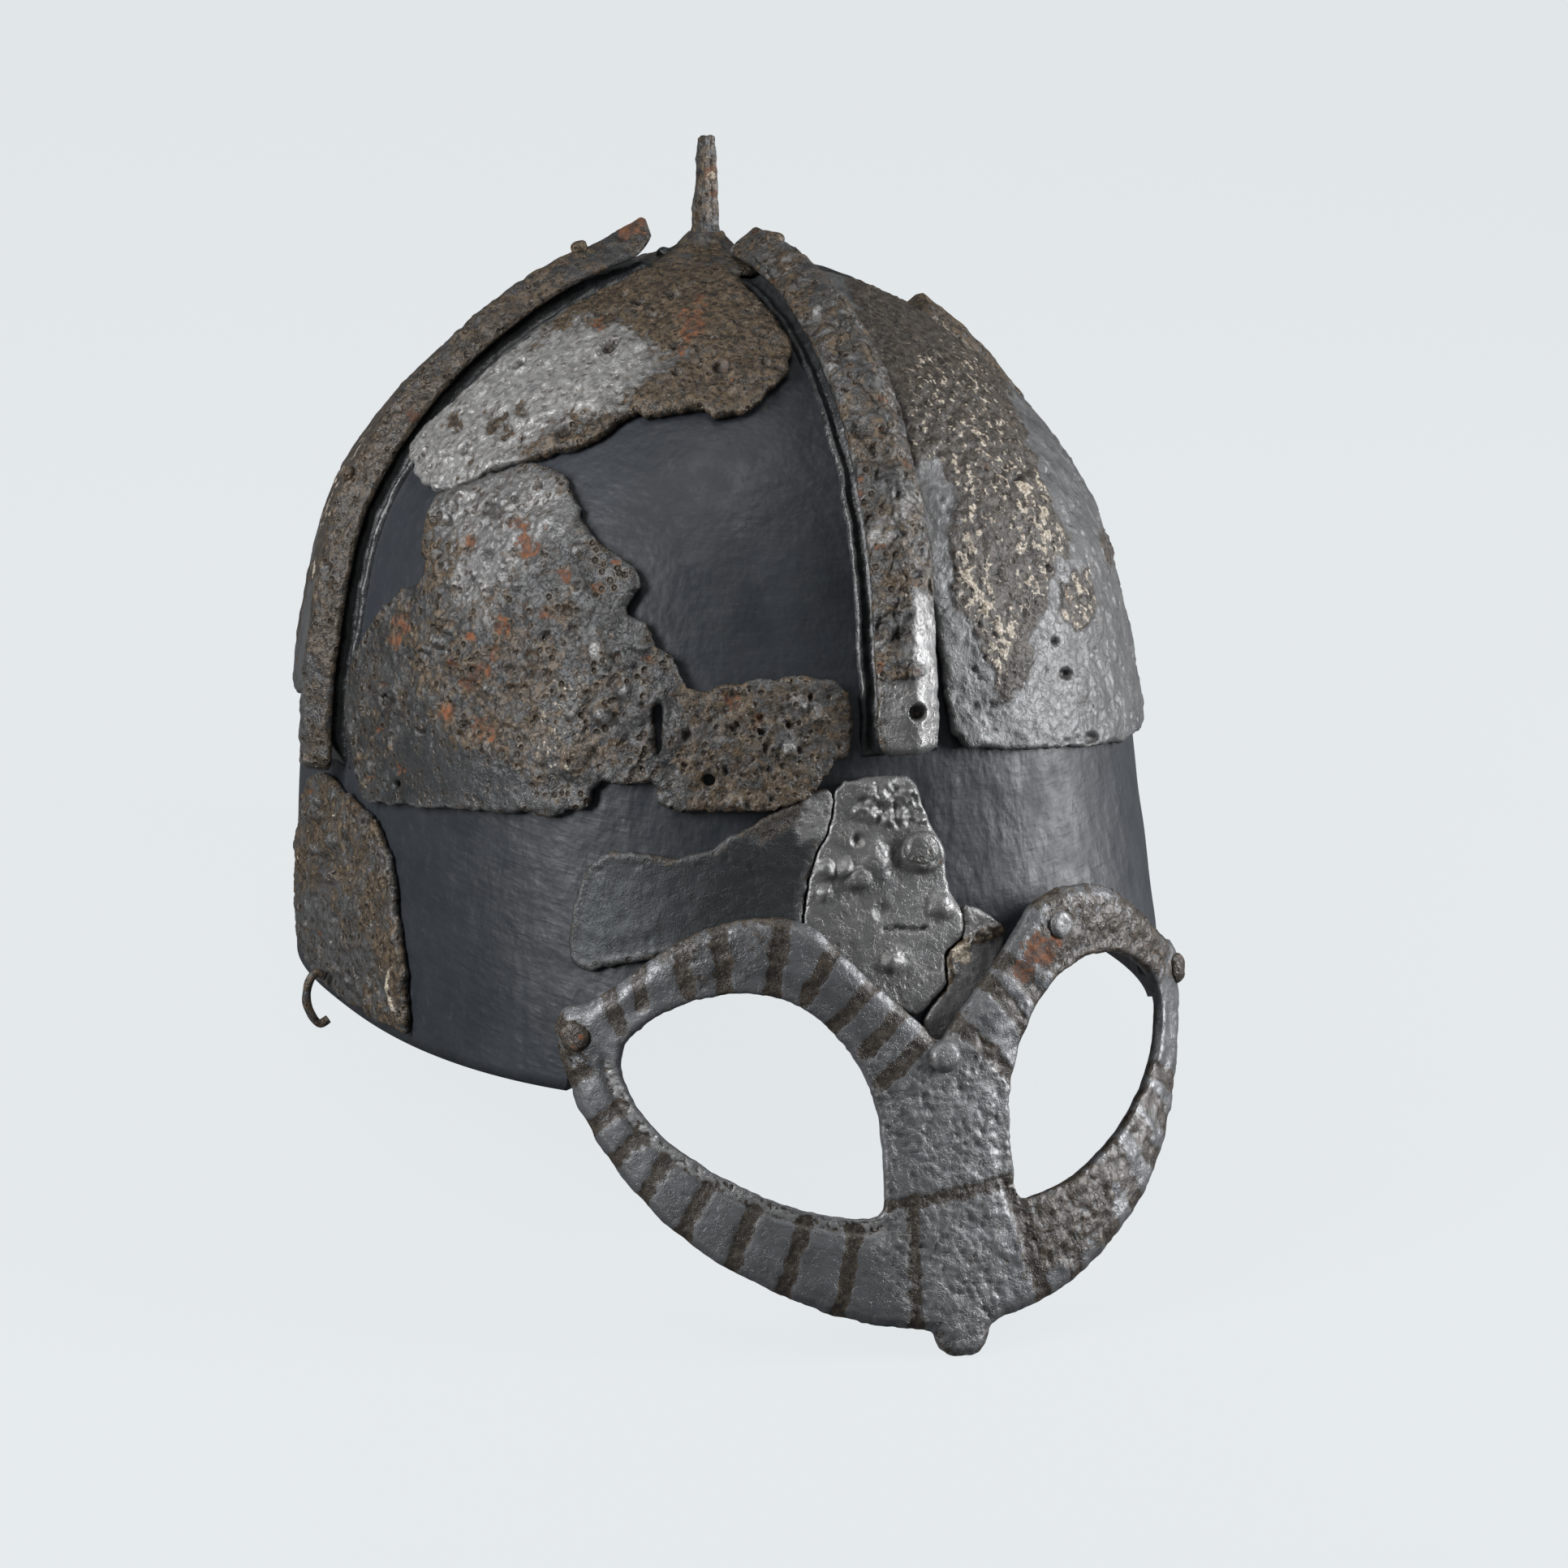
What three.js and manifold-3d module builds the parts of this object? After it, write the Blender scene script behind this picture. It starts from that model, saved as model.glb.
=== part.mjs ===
// Iron helmet of the spectacle type: a ridged dome of riveted fragments on a painted support shell.
// Millimetres, +Z up. The wearer looks along -Y, and the wearer's right is -X.
// It is modelled upright with the rim in the plane Z = 0, then laid back onto its nape and nose guard.

import * as THREE from 'three';
import { mergeVertices } from 'three/addons/utils/BufferGeometryUtils.js';
import Module from 'manifold-3d';

const wasm = await Module();
wasm.setup();

// Support shell
const SHELL_HALF_WIDTH = 93;
const SHELL_FRONT = 123;
const SHELL_BACK = 112;
const SHELL_HEIGHT = 166;
const SHELL_WALL = 3;
const CLEARANCE = 0.3;

// Raised ribs of the shell that carry the ridge bands
const RIB_WIDTH = 11;
const RIB_HEIGHT = 3.6;
const RIB_ROOT = 1.5;
const RIB_EXTENSION_SHARE = 0.008;

// Ridge bands
const BAND_WIDTH = 13.4;
const BAND_EDGE = 1.8;
const BAND_CREST = 5.4;
const BAND_SHOULDER_ACROSS = 0.3;
const BAND_SHOULDER_RISE = 0.72;
const BAND_SEAT = RIB_HEIGHT + CLEARANCE;
const FRONT_BAND_LEAN = 7;
const RIGHT_BAND_LIFT = 1.6;
const RIGHT_BAND_PRELIFT = 0.53;

// Plates of the dome and of the brow
const PLATE_THICKNESS = 2.5;
const BROW_THICKNESS = 2.3;
const PLATE_MARGIN = 0.6;

// Crown
const CROWN_PATCH_RADIUS = 7.6;
const CROWN_PATCH_TOP_RADIUS = 4.2;
const CROWN_PATCH_HEIGHT = 6.6;
const SPIKE_HEIGHT = 21.5;
const SPIKE_BASE_WIDTH = 5.6;
const SPIKE_TIP_WIDTH = 3.4;
const SPIKE_TURN_DEG = 12;

// Spectacle guard
const GUARD_HALF_WIDTH = 75;
const GUARD_HEIGHT = 94;
const GUARD_DROP = 53.5;
const GUARD_STAND_OFF = 2.35;
const GUARD_SIDE_LEAD = 11.6;
const GUARD_FULLNESS = 2.2;
const GUARD_SLOPE = 0.19;
const GUARD_THICKNESS = 3.6;
const EYE_RELIEF = 3;

// Rivets and pins
const RIVET_RADIUS = 2.3;
const RIVET_HEIGHT = 1.4;
const KNOB_RADIUS = 3.9;
const KNOB_HEIGHT = 3.2;
const ARCH_RIVET_HEIGHT = 2.2;
const SHANK_RADIUS = 1.5;
const BAND_HOLE_RADIUS = 2.2;
const PLATE_HOLE_RADIUS = 1.6;

// Mail hook under the right brow fragment
const HOOK_WIRE = 2;
const HOOK_REACH = 4.6;
const HOOK_DROP = 11;
const HOOK_BEARING = -88;
const HOOK_SHARE = 0.04;

// The hook's curve as [share of HOOK_REACH, share of HOOK_DROP].
const HOOK_CURVE = [[0, 0], [0.45, 0.1], [0.9, -0.15], [1, -0.45], [0.75, -0.8], [0.3, -1], [-0.1, -0.92]];

// Facets
const SIDES_AROUND = 48;
const SIDES_ROUND = 10;
const SIDES_SQUARE = 4;
const HEAD_RINGS = 3;
const GUARD_BENDS = 22;
const HOOK_SIDES = 6;
const HOOK_BENDS = 16;
const SHARE_STEP = 0.004;

// Outlines are cut by cones from a point on the dome's axis, at this share of its height, between
// two shares of the distance to the surface. Their caps are laid out flat at DEGREES_PER_HEIGHT.
const CONE_APEX = 0.25;
const CONE_NEAR = 0.6;
const CONE_FAR = 1.7;
const DEGREES_PER_HEIGHT = 90;

// Sections of the shell from rim to crown: the height as a share of SHELL_HEIGHT, the half width,
// front and back lengths as shares of their own sizes, and the fullness of the plan's corners.
const STATIONS = [
  { height: 0, width: 1, front: 1, back: 1, fullness: 2.5 },
  { height: 0.08, width: 1, front: 0.985, back: 1, fullness: 2.46 },
  { height: 0.18, width: 0.995, front: 0.947, back: 1, fullness: 2.42 },
  { height: 0.3, width: 0.984, front: 0.907, back: 0.99, fullness: 2.36 },
  { height: 0.42, width: 0.973, front: 0.878, back: 0.973, fullness: 2.3 },
  { height: 0.54, width: 0.941, front: 0.841, back: 0.94, fullness: 2.25 },
  { height: 0.66, width: 0.89, front: 0.785, back: 0.875, fullness: 2.2 },
  { height: 0.75, width: 0.8, front: 0.715, back: 0.8, fullness: 2.15 },
  { height: 0.83, width: 0.68, front: 0.625, back: 0.7, fullness: 2.1 },
  { height: 0.9, width: 0.53, front: 0.5, back: 0.565, fullness: 2.05 },
  { height: 0.95, width: 0.378, front: 0.37, back: 0.41, fullness: 2 },
  { height: 0.98, width: 0.222, front: 0.225, back: 0.25, fullness: 2 },
  { height: 0.995, width: 0.1, front: 0.1, back: 0.1, fullness: 2 },
];

// Outlines of the fragments on the shell, as [degrees from the front towards the wearer's left,
// share of the shell's height].
const FRONT_RIGHT_UPPER_OUTLINE = [
  [-10, 0.986], [-60, 0.986], [-66, 0.96], [-70, 0.935], [-74, 0.88], [-79, 0.835], [-85, 0.775],
  [-84, 0.756], [-75, 0.728], [-67, 0.722], [-58, 0.752], [-51, 0.771], [-44, 0.788], [-39, 0.806],
  [-34, 0.836], [-31, 0.83], [-23, 0.842], [-21, 0.83], [-15, 0.836], [-4, 0.89], [-5, 0.94],
];
const FRONT_RIGHT_LOWER_OUTLINE = [
  [-69, 0.713], [-62, 0.734], [-55, 0.755], [-50, 0.768], [-44.5, 0.764], [-40.5, 0.729],
  [-39, 0.706], [-36.5, 0.683], [-33, 0.67], [-30, 0.642], [-32.5, 0.604], [-29, 0.583],
  [-28, 0.563], [-25.5, 0.552], [-25, 0.515], [-22.5, 0.505], [-21, 0.515], [-15, 0.525],
  [-6, 0.52], [-6, 0.424], [-8.5, 0.416], [-11, 0.377], [-16.5, 0.361], [-27, 0.361],
  [-28, 0.4], [-30.5, 0.395], [-35, 0.396], [-35.3, 0.357], [-43, 0.345], [-57, 0.333],
  [-75, 0.308], [-78, 0.336], [-84, 0.42], [-82, 0.5], [-72, 0.59], [-66, 0.604],
  [-64.5, 0.625], [-67, 0.653],
];
const FRONT_LEFT_OUTLINE = [
  [14, 0.975], [24, 0.976], [55, 0.978], [72, 0.95], [78, 0.88], [80, 0.75], [82, 0.6],
  [82, 0.48], [80, 0.4], [70, 0.38], [60, 0.374], [51, 0.374], [32, 0.383], [14, 0.411],
  [6.5, 0.425], [6, 0.5], [6, 0.59], [6.2, 0.65], [7.5, 0.729], [10, 0.826], [12, 0.9],
];
const REAR_RIGHT_OUTLINE = [
  [-99, 0.43], [-112, 0.39], [-128, 0.405], [-141, 0.37], [-156, 0.39], [-172, 0.4],
  [-174, 0.55], [-172, 0.74], [-174, 0.86], [-160, 0.95], [-135, 0.965], [-112, 0.955],
  [-103, 0.88], [-100, 0.75], [-98, 0.6],
];
const REAR_LEFT_OUTLINE = [
  [98, 0.4], [115, 0.375], [131, 0.395], [136, 0.47], [146, 0.46], [150, 0.378], [172, 0.41],
  [174, 0.6], [172, 0.8], [165, 0.93], [140, 0.96], [115, 0.955], [103, 0.85], [99, 0.65],
];
const BROW_SIDE_OUTLINE = [
  [-101, 0.292], [-96, 0.31], [-90, 0.315], [-84, 0.3], [-77, 0.298], [-72, 0.28], [-67.5, 0.236],
  [-66, 0.173], [-64, 0.111], [-62.5, 0.018], [-66, 0.022], [-71, 0.018], [-77, 0.022],
  [-86.5, 0.016], [-96, 0.02], [-103, 0.03], [-108, 0.06], [-109, 0.15], [-106, 0.25],
];
const BROW_DARK_OUTLINE = [
  [-34.5, 0.3], [-32, 0.31], [-26, 0.302], [-22.5, 0.31], [-19.5, 0.33], [-16.5, 0.35],
  [-13.3, 0.366], [-11, 0.372], [-9.2, 0.376], [-9.6, 0.34], [-12.2, 0.29], [-13.4, 0.225],
  [-13.6, 0.19], [-17, 0.2], [-24, 0.19], [-31, 0.168], [-35.2, 0.155], [-36.8, 0.17],
  [-37.3, 0.206], [-36.3, 0.268],
];
const BROW_LIGHT_OUTLINE = [
  [-8.2, 0.392], [-3, 0.396], [1, 0.392], [2.3, 0.339], [4, 0.3], [3.8, 0.25], [5.2, 0.222],
  [5.1, 0.186], [2.6, 0.168], [2.3, 0.147], [2.6, 0.127], [0.7, 0.112], [-0.9, 0.098],
  [-2.5, 0.1], [-6, 0.125], [-10, 0.165], [-12.6, 0.18], [-12.4, 0.225], [-11.2, 0.29],
  [-8.6, 0.34],
];
const BROW_STRIP_OUTLINE = [
  [5.8, 0.218], [7.9, 0.208], [10.4, 0.192], [9.4, 0.16], [5.6, 0.1], [2.6, 0.052],
  [1.2, 0.055], [0.7, 0.079], [1.2, 0.096], [3.4, 0.116], [3.9, 0.15], [6.3, 0.178],
];

// Half of the guard's outline on the wearer's left, as [share of GUARD_HALF_WIDTH, share of
// GUARD_HEIGHT from the nose tip], from the notch of the brow to the nose tip.
const GUARD_OUTER = [
  [0, 0.69], [0.06, 0.745], [0.165, 0.82], [0.28, 0.915], [0.35, 0.975], [0.44, 0.995],
  [0.56, 0.99], [0.67, 0.957], [0.765, 0.9], [0.85, 0.84], [0.93, 0.785], [0.98, 0.775],
  [1, 0.73], [0.99, 0.65], [0.965, 0.565], [0.925, 0.48], [0.862, 0.39], [0.775, 0.303],
  [0.66, 0.23], [0.53, 0.172], [0.385, 0.12], [0.24, 0.084], [0.09, 0.068], [0.07, 0.022],
  [0.035, 0], [0, 0],
];
const GUARD_EYE = [
  [0.868, 0.65], [0.845, 0.72], [0.765, 0.778], [0.655, 0.82], [0.528, 0.834], [0.41, 0.808],
  [0.315, 0.745], [0.24, 0.657], [0.2, 0.56], [0.193, 0.452], [0.203, 0.32], [0.333, 0.327],
  [0.48, 0.358], [0.63, 0.415], [0.755, 0.485], [0.835, 0.56],
];

// Places on the dome, as [degrees, share of height].
const LOWER_PLATE_HOLES = [[-22, 0.402], [-69, 0.352]];
const LEFT_PLATE_HOLES = [[46, 0.47]];
const BAND_PIN_PLACE = [1.2, 0.472];
const BROW_RIVETS = {
  brow_rivet_large: { place: [1.0, 0.3], radius: KNOB_RADIUS },
  brow_rivet_small: { place: [-6.2, 0.27], radius: RIVET_RADIUS },
};

// The bands' lines: the bearing of each, the shares of height between which it runs, and how far
// its crown end leans sideways.
const BAND_LINES = {
  front: { bearing: 0, low: 0.42, high: 0.995, lean: FRONT_BAND_LEAN },
  right: { bearing: -90, low: 0.33, high: 0.99, lean: 0 },
  rear: { bearing: 180, low: 0.36, high: 0.98, lean: 0 },
  left: { bearing: 90, low: 0.36, high: 0.95, lean: 0 },
};
const BAND_RIVETS = {
  band_front_rivet: { line: BAND_LINES.front, share: 0.985 },
  band_right_rivet_high: { line: BAND_LINES.right, share: 0.967 },
  band_right_rivet_low: { line: BAND_LINES.right, share: 0.705 },
};

// Rivets of the guard: the place as shares, as its outline gives them, and the size of the head.
const GUARD_RIVETS = {
  guard_knob_nose: { across: 0, height: 0.665, radius: KNOB_RADIUS, rise: KNOB_HEIGHT },
  guard_rivet_arch: { across: 0.42, height: 0.915, radius: KNOB_RADIUS, rise: ARCH_RIVET_HEIGHT },
  guard_rivet_right: { across: -0.95, height: 0.715, radius: RIVET_RADIUS, rise: RIVET_HEIGHT },
  guard_rivet_left: { across: 0.95, height: 0.715, radius: RIVET_RADIUS, rise: RIVET_HEIGHT },
};

// How far the guard's face stands ahead of the dome's axis at the rim, the half width of the curve
// that it follows round the shell, and the tilt at rest.
const GUARD_LEAD = SHELL_FRONT + BROW_THICKNESS + GUARD_THICKNESS + GUARD_STAND_OFF + 2 * CLEARANCE;
const GUARD_CURVE_WIDTH = SHELL_HALF_WIDTH + GUARD_SIDE_LEAD;
const NOSE_TIP_LEAD = GUARD_LEAD + GUARD_SLOPE * GUARD_DROP - GUARD_THICKNESS;
const REST_TILT = Math.atan2(GUARD_DROP, SHELL_BACK + NOSE_TIP_LEAD);

function radians(degrees) {
  return THREE.MathUtils.degToRad(degrees);
}

// The shell's outer surface

function sectionAt(share) {
  const last = STATIONS.length - 1;
  let index = 0;
  while (index < last - 1 && STATIONS[index + 1].height < share) index += 1;
  const low = STATIONS[index];
  const high = STATIONS[index + 1];
  const mix = THREE.MathUtils.clamp((share - low.height) / (high.height - low.height), 0, 1);
  const blend = (key) => THREE.MathUtils.lerp(low[key], high[key], mix);
  return {
    width: blend('width') * SHELL_HALF_WIDTH,
    front: blend('front') * SHELL_FRONT,
    back: blend('back') * SHELL_BACK,
    fullness: blend('fullness'),
    z: share * SHELL_HEIGHT,
  };
}

function surfacePoint(degrees, share) {
  const section = sectionAt(share);
  const across = Math.sin(radians(degrees));
  const ahead = Math.cos(radians(degrees));
  const length = ahead > 0 ? section.front : section.back;
  const sum = Math.abs(across / section.width) ** section.fullness
    + Math.abs(ahead / length) ** section.fullness;
  const radius = sum ** (-1 / section.fullness);
  return new THREE.Vector3(across * radius, -ahead * radius, section.z);
}

function surfaceNormal(degrees, share) {
  const turn = 1;
  const low = Math.max(share - SHARE_STEP, 0);
  const high = Math.min(share + SHARE_STEP, STATIONS.at(-1).height);
  const around = surfacePoint(degrees + turn, share).sub(surfacePoint(degrees - turn, share));
  const along = surfacePoint(degrees, high).sub(surfacePoint(degrees, low));
  return around.cross(along).normalize();
}

function offsetPoint(degrees, share, offset) {
  return surfacePoint(degrees, share).addScaledVector(surfaceNormal(degrees, share), offset);
}

// Meshes and booleans

// A closed mesh with its faces turned outwards.
function geometryFrom(points, triangles) {
  const cross = new THREE.Vector3();
  const volume = triangles.reduce((sum, [a, b, c]) => (
    sum + cross.crossVectors(points[a], points[b]).dot(points[c])), 0);
  const outward = volume > 0 ? triangles : triangles.map(([a, b, c]) => [a, c, b]);
  const geometry = new THREE.BufferGeometry();
  geometry.setAttribute('position', new THREE.Float32BufferAttribute(points.flatMap((p) => p.toArray()), 3));
  geometry.setIndex(outward.flat());
  return geometry;
}

function solidFrom(geometry) {
  const bare = geometry.clone();
  bare.deleteAttribute('normal');
  bare.deleteAttribute('uv');
  const merged = mergeVertices(bare, 1e-4);
  return new wasm.Manifold(new wasm.Mesh({
    numProp: 3,
    vertProperties: new Float32Array(merged.attributes.position.array),
    triVerts: new Uint32Array(merged.index.array),
  }));
}

function geometryOf(solid) {
  const mesh = solid.getMesh();
  const geometry = new THREE.BufferGeometry();
  geometry.setAttribute('position', new THREE.Float32BufferAttribute(mesh.vertProperties, 3));
  geometry.setIndex([...mesh.triVerts]);
  return geometry;
}

function largestPiece(solid) {
  const pieces = solid.decompose();
  return pieces.reduce((best, piece) => (piece.volume() > best.volume() ? piece : best));
}

// A closed layer over the dome between two offsets from the shell's outer surface.
function domeLayer(innerOffset, outerOffset) {
  const points = [];
  const triangles = [];
  const rows = STATIONS.length;
  const addSurface = (offset) => {
    const first = points.length;
    for (const station of STATIONS) {
      for (let side = 0; side < SIDES_AROUND; side += 1) {
        const degrees = (360 * side) / SIDES_AROUND;
        const point = offsetPoint(degrees, station.height, offset);
        if (station.height === 0) point.z = 0;
        points.push(point);
      }
    }
    points.push(new THREE.Vector3(0, 0, SHELL_HEIGHT + offset));
    return first;
  };
  const outer = addSurface(outerOffset);
  const inner = addSurface(innerOffset);
  for (let side = 0; side < SIDES_AROUND; side += 1) {
    const next = (side + 1) % SIDES_AROUND;
    for (let row = 0; row < rows - 1; row += 1) {
      const a = row * SIDES_AROUND + side;
      const b = row * SIDES_AROUND + next;
      const c = b + SIDES_AROUND;
      const d = a + SIDES_AROUND;
      triangles.push([outer + a, outer + b, outer + c], [outer + a, outer + c, outer + d]);
      triangles.push([inner + a, inner + c, inner + b], [inner + a, inner + d, inner + c]);
    }
    const top = (rows - 1) * SIDES_AROUND;
    const pole = rows * SIDES_AROUND;
    triangles.push([outer + top + side, outer + top + next, outer + pole]);
    triangles.push([inner + top + side, inner + pole, inner + top + next]);
    triangles.push([outer + side, inner + side, inner + next], [outer + side, inner + next, outer + next]);
  }
  return solidFrom(geometryFrom(points, triangles));
}

// A cone from the middle of the dome through an outline on its surface.
function outlineCone(outline) {
  const apex = new THREE.Vector3(0, 0, SHELL_HEIGHT * CONE_APEX);
  const flat = outline.map(([degrees, share]) => new THREE.Vector2(degrees, share * DEGREES_PER_HEIGHT));
  if (THREE.ShapeUtils.isClockWise(flat)) flat.reverse();
  const caps = THREE.ShapeUtils.triangulateShape(flat, []);
  const points = [CONE_NEAR, CONE_FAR].flatMap((scale) => flat.map(({ x, y }) => (
    surfacePoint(x, y / DEGREES_PER_HEIGHT).sub(apex).multiplyScalar(scale).add(apex))));
  const count = flat.length;
  const triangles = [];
  for (const [a, b, c] of caps) {
    triangles.push([count + a, count + b, count + c], [a, c, b]);
  }
  for (let index = 0; index < count; index += 1) {
    const next = (index + 1) % count;
    triangles.push([index, next, count + next], [index, count + next, count + index]);
  }
  return solidFrom(geometryFrom(points, triangles));
}

// A strip of constant section along a path of { point, normal, side }.
function sweptStrip(path, section) {
  const points = path.flatMap(({ point, normal, side }) => section.map(([across, up]) => (
    point.clone().addScaledVector(side, across).addScaledVector(normal, up))));
  const size = section.length;
  const triangles = [];
  for (let step = 0; step < path.length - 1; step += 1) {
    for (let corner = 0; corner < size; corner += 1) {
      const next = (corner + 1) % size;
      const a = step * size + corner;
      const b = step * size + next;
      triangles.push([a, b, b + size], [a, b + size, a + size]);
    }
  }
  const end = (path.length - 1) * size;
  for (let corner = 1; corner < size - 1; corner += 1) {
    triangles.push([0, corner + 1, corner], [end, end + corner, end + corner + 1]);
  }
  return geometryFrom(points, triangles);
}

// Meridian bands

// A place on a band's line, offset from the shell, with its normal and its sideways direction.
function bandPlace({ bearing, low, high, lean }, share, offset) {
  const ahead = new THREE.Vector3(Math.sin(radians(bearing)), -Math.cos(radians(bearing)), 0);
  const side = new THREE.Vector3(Math.cos(radians(bearing)), Math.sin(radians(bearing)), 0);
  const section = sectionAt(share);
  const lateral = (lean * (share - low)) / (high - low);
  const alongY = Math.abs(ahead.y) > Math.abs(ahead.x);
  const length = ahead.y < 0 ? section.front : section.back;
  const reach = alongY ? length : section.width;
  const cross = alongY ? section.width : section.front;
  const rest = 1 - Math.min(Math.abs(lateral) / cross, 1) ** section.fullness;
  const flat = ahead.clone().multiplyScalar(reach * rest ** (1 / section.fullness));
  flat.addScaledVector(side, lateral);
  const normal = surfaceNormal(THREE.MathUtils.radToDeg(Math.atan2(flat.x, -flat.y)), share);
  normal.addScaledVector(side, -normal.dot(side)).normalize();
  const point = new THREE.Vector3(flat.x, flat.y, section.z).addScaledVector(normal, offset);
  return { point, normal, side };
}

function bandPath(line, offset, extension) {
  const from = line.low - extension;
  const bends = STATIONS.map(({ height }) => height).filter((height) => (
    height > from + SHARE_STEP && height < line.high));
  return [from, ...bends, line.high].map((share) => bandPlace(line, share, offset));
}

function ribSolid(line, grow) {
  const half = RIB_WIDTH / 2 + grow;
  const top = RIB_HEIGHT + grow;
  const section = [[-half, -RIB_ROOT], [half, -RIB_ROOT], [half, top], [-half, top]];
  return solidFrom(sweptStrip(bandPath(line, 0, RIB_EXTENSION_SHARE), section));
}

function bandSection() {
  const half = BAND_WIDTH / 2;
  const shoulder = BAND_WIDTH * BAND_SHOULDER_ACROSS;
  const shoulderRise = BAND_EDGE + (BAND_CREST - BAND_EDGE) * BAND_SHOULDER_RISE;
  return [[-half, 0], [half, 0], [half, BAND_EDGE], [shoulder, shoulderRise], [0, BAND_CREST],
    [-shoulder, shoulderRise], [-half, BAND_EDGE]];
}

// A band whose last sections, the last one first, stand off the rib by the given lifts.
function bandSolid(line, endLifts) {
  const path = bandPath(line, BAND_SEAT, 0);
  endLifts.forEach((lift, index) => {
    const section = path.at(-1 - index);
    section.point.addScaledVector(section.normal, lift);
  });
  return solidFrom(sweptStrip(path, bandSection()));
}

// Radial pins, holes and rivets

function placeRadially(geometry, degrees, share, offset) {
  const turn = new THREE.Quaternion().setFromUnitVectors(
    new THREE.Vector3(0, 0, 1),
    surfaceNormal(degrees, share),
  );
  const point = offsetPoint(degrees, share, offset);
  return geometry.applyQuaternion(turn).translate(point.x, point.y, point.z);
}

function domedHead(radius, height, shankLength) {
  const profile = [new THREE.Vector2(0, height)];
  for (let ring = 1; ring <= HEAD_RINGS; ring += 1) {
    const angle = (Math.PI / 2) * (ring / HEAD_RINGS);
    profile.push(new THREE.Vector2(radius * Math.sin(angle), height * Math.cos(angle)));
  }
  if (shankLength > 0) {
    profile.push(new THREE.Vector2(SHANK_RADIUS, 0), new THREE.Vector2(SHANK_RADIUS, -shankLength));
    profile.push(new THREE.Vector2(0, -shankLength));
  } else {
    profile.push(new THREE.Vector2(0, 0));
  }
  const head = new THREE.LatheGeometry(profile.reverse(), SIDES_ROUND);
  return head.rotateX(Math.PI / 2);
}

function drill(radius, length) {
  return new THREE.CylinderGeometry(radius, radius, length, SIDES_ROUND).rotateX(Math.PI / 2);
}

// Spectacle guard

function guardFace(x) {
  const rest = 1 - Math.abs(x / GUARD_CURVE_WIDTH) ** GUARD_FULLNESS;
  return GUARD_LEAD * rest ** (1 / GUARD_FULLNESS);
}

function guardPoint(x, z) {
  return new THREE.Vector3(x, -(guardFace(x) - GUARD_SLOPE * z), z);
}

function guardNormal(x, z) {
  const step = 0.5;
  const across = guardPoint(x + step, z).sub(guardPoint(x - step, z));
  const rise = guardPoint(x, z + step).sub(guardPoint(x, z - step));
  return across.cross(rise).normalize();
}

function guardPlan([across, height]) {
  return new THREE.Vector2(across * GUARD_HALF_WIDTH, height * GUARD_HEIGHT - GUARD_DROP);
}

function guardSlab() {
  const edge = GUARD_HALF_WIDTH + GUARD_THICKNESS;
  const bottom = -GUARD_DROP - GUARD_THICKNESS;
  const top = bottom + GUARD_HEIGHT + 2 * GUARD_THICKNESS;
  const points = [];
  const triangles = [];
  for (let step = 0; step <= GUARD_BENDS; step += 1) {
    const x = THREE.MathUtils.lerp(-edge, edge, step / GUARD_BENDS);
    for (const z of [bottom, top]) {
      const front = guardPoint(x, z);
      points.push(front, front.clone().addScaledVector(guardNormal(x, z), -GUARD_THICKNESS));
    }
  }
  const ring = [0, 2, 3, 1];
  for (let step = 0; step < GUARD_BENDS; step += 1) {
    const first = step * 4;
    ring.forEach((corner, index) => {
      const a = first + corner;
      const b = first + ring[(index + 1) % 4];
      triangles.push([a, b, b + 4], [a, b + 4, a + 4]);
    });
  }
  const end = GUARD_BENDS * 4;
  triangles.push([0, 3, 2], [0, 1, 3], [end, end + 2, end + 3], [end, end + 3, end + 1]);
  return solidFrom(geometryFrom(points, triangles));
}

function guardPrism() {
  const left = GUARD_OUTER.map(guardPlan);
  const right = left.slice(1, -1).map((p) => new THREE.Vector2(-p.x, p.y)).reverse();
  const eye = GUARD_EYE.map(guardPlan);
  const otherEye = eye.map((p) => new THREE.Vector2(-p.x, p.y)).reverse();
  const shape = new THREE.Shape([...left, ...right]);
  shape.holes = [new THREE.Path(eye), new THREE.Path(otherEye)];
  const prism = new THREE.ExtrudeGeometry(shape, { depth: 2 * SHELL_FRONT, bevelEnabled: false });
  return solidFrom(prism.rotateX(Math.PI / 2));
}

// The shell's brow is cut back by EYE_RELIEF around each eye.
function eyeRelief(mirror) {
  const eye = GUARD_EYE.map(guardPlan).map((p) => new THREE.Vector2(mirror * p.x, p.y));
  const bounds = new THREE.Box2().setFromPoints(eye);
  const middle = bounds.getCenter(new THREE.Vector2());
  const size = bounds.getSize(new THREE.Vector2());
  const grow = new THREE.Vector2(1 + (2 * EYE_RELIEF) / size.x, 1 + (2 * EYE_RELIEF) / size.y);
  const shape = new THREE.Shape(eye.map((p) => p.sub(middle).multiply(grow).add(middle)));
  const prism = new THREE.ExtrudeGeometry(shape, { depth: 2 * SHELL_FRONT, bevelEnabled: false });
  return solidFrom(prism.rotateX(Math.PI / 2));
}

function onGuard(geometry, { across, height }) {
  const place = guardPlan([across, height]);
  const turn = new THREE.Quaternion().setFromUnitVectors(
    new THREE.Vector3(0, 0, 1),
    guardNormal(place.x, place.y),
  );
  const point = guardPoint(place.x, place.y).addScaledVector(guardNormal(place.x, place.y), CLEARANCE);
  return geometry.applyQuaternion(turn).translate(point.x, point.y, point.z);
}

// Materials

function finish(color, roughness, metalness) {
  return new THREE.MeshStandardMaterial({ color, roughness, metalness });
}

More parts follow.
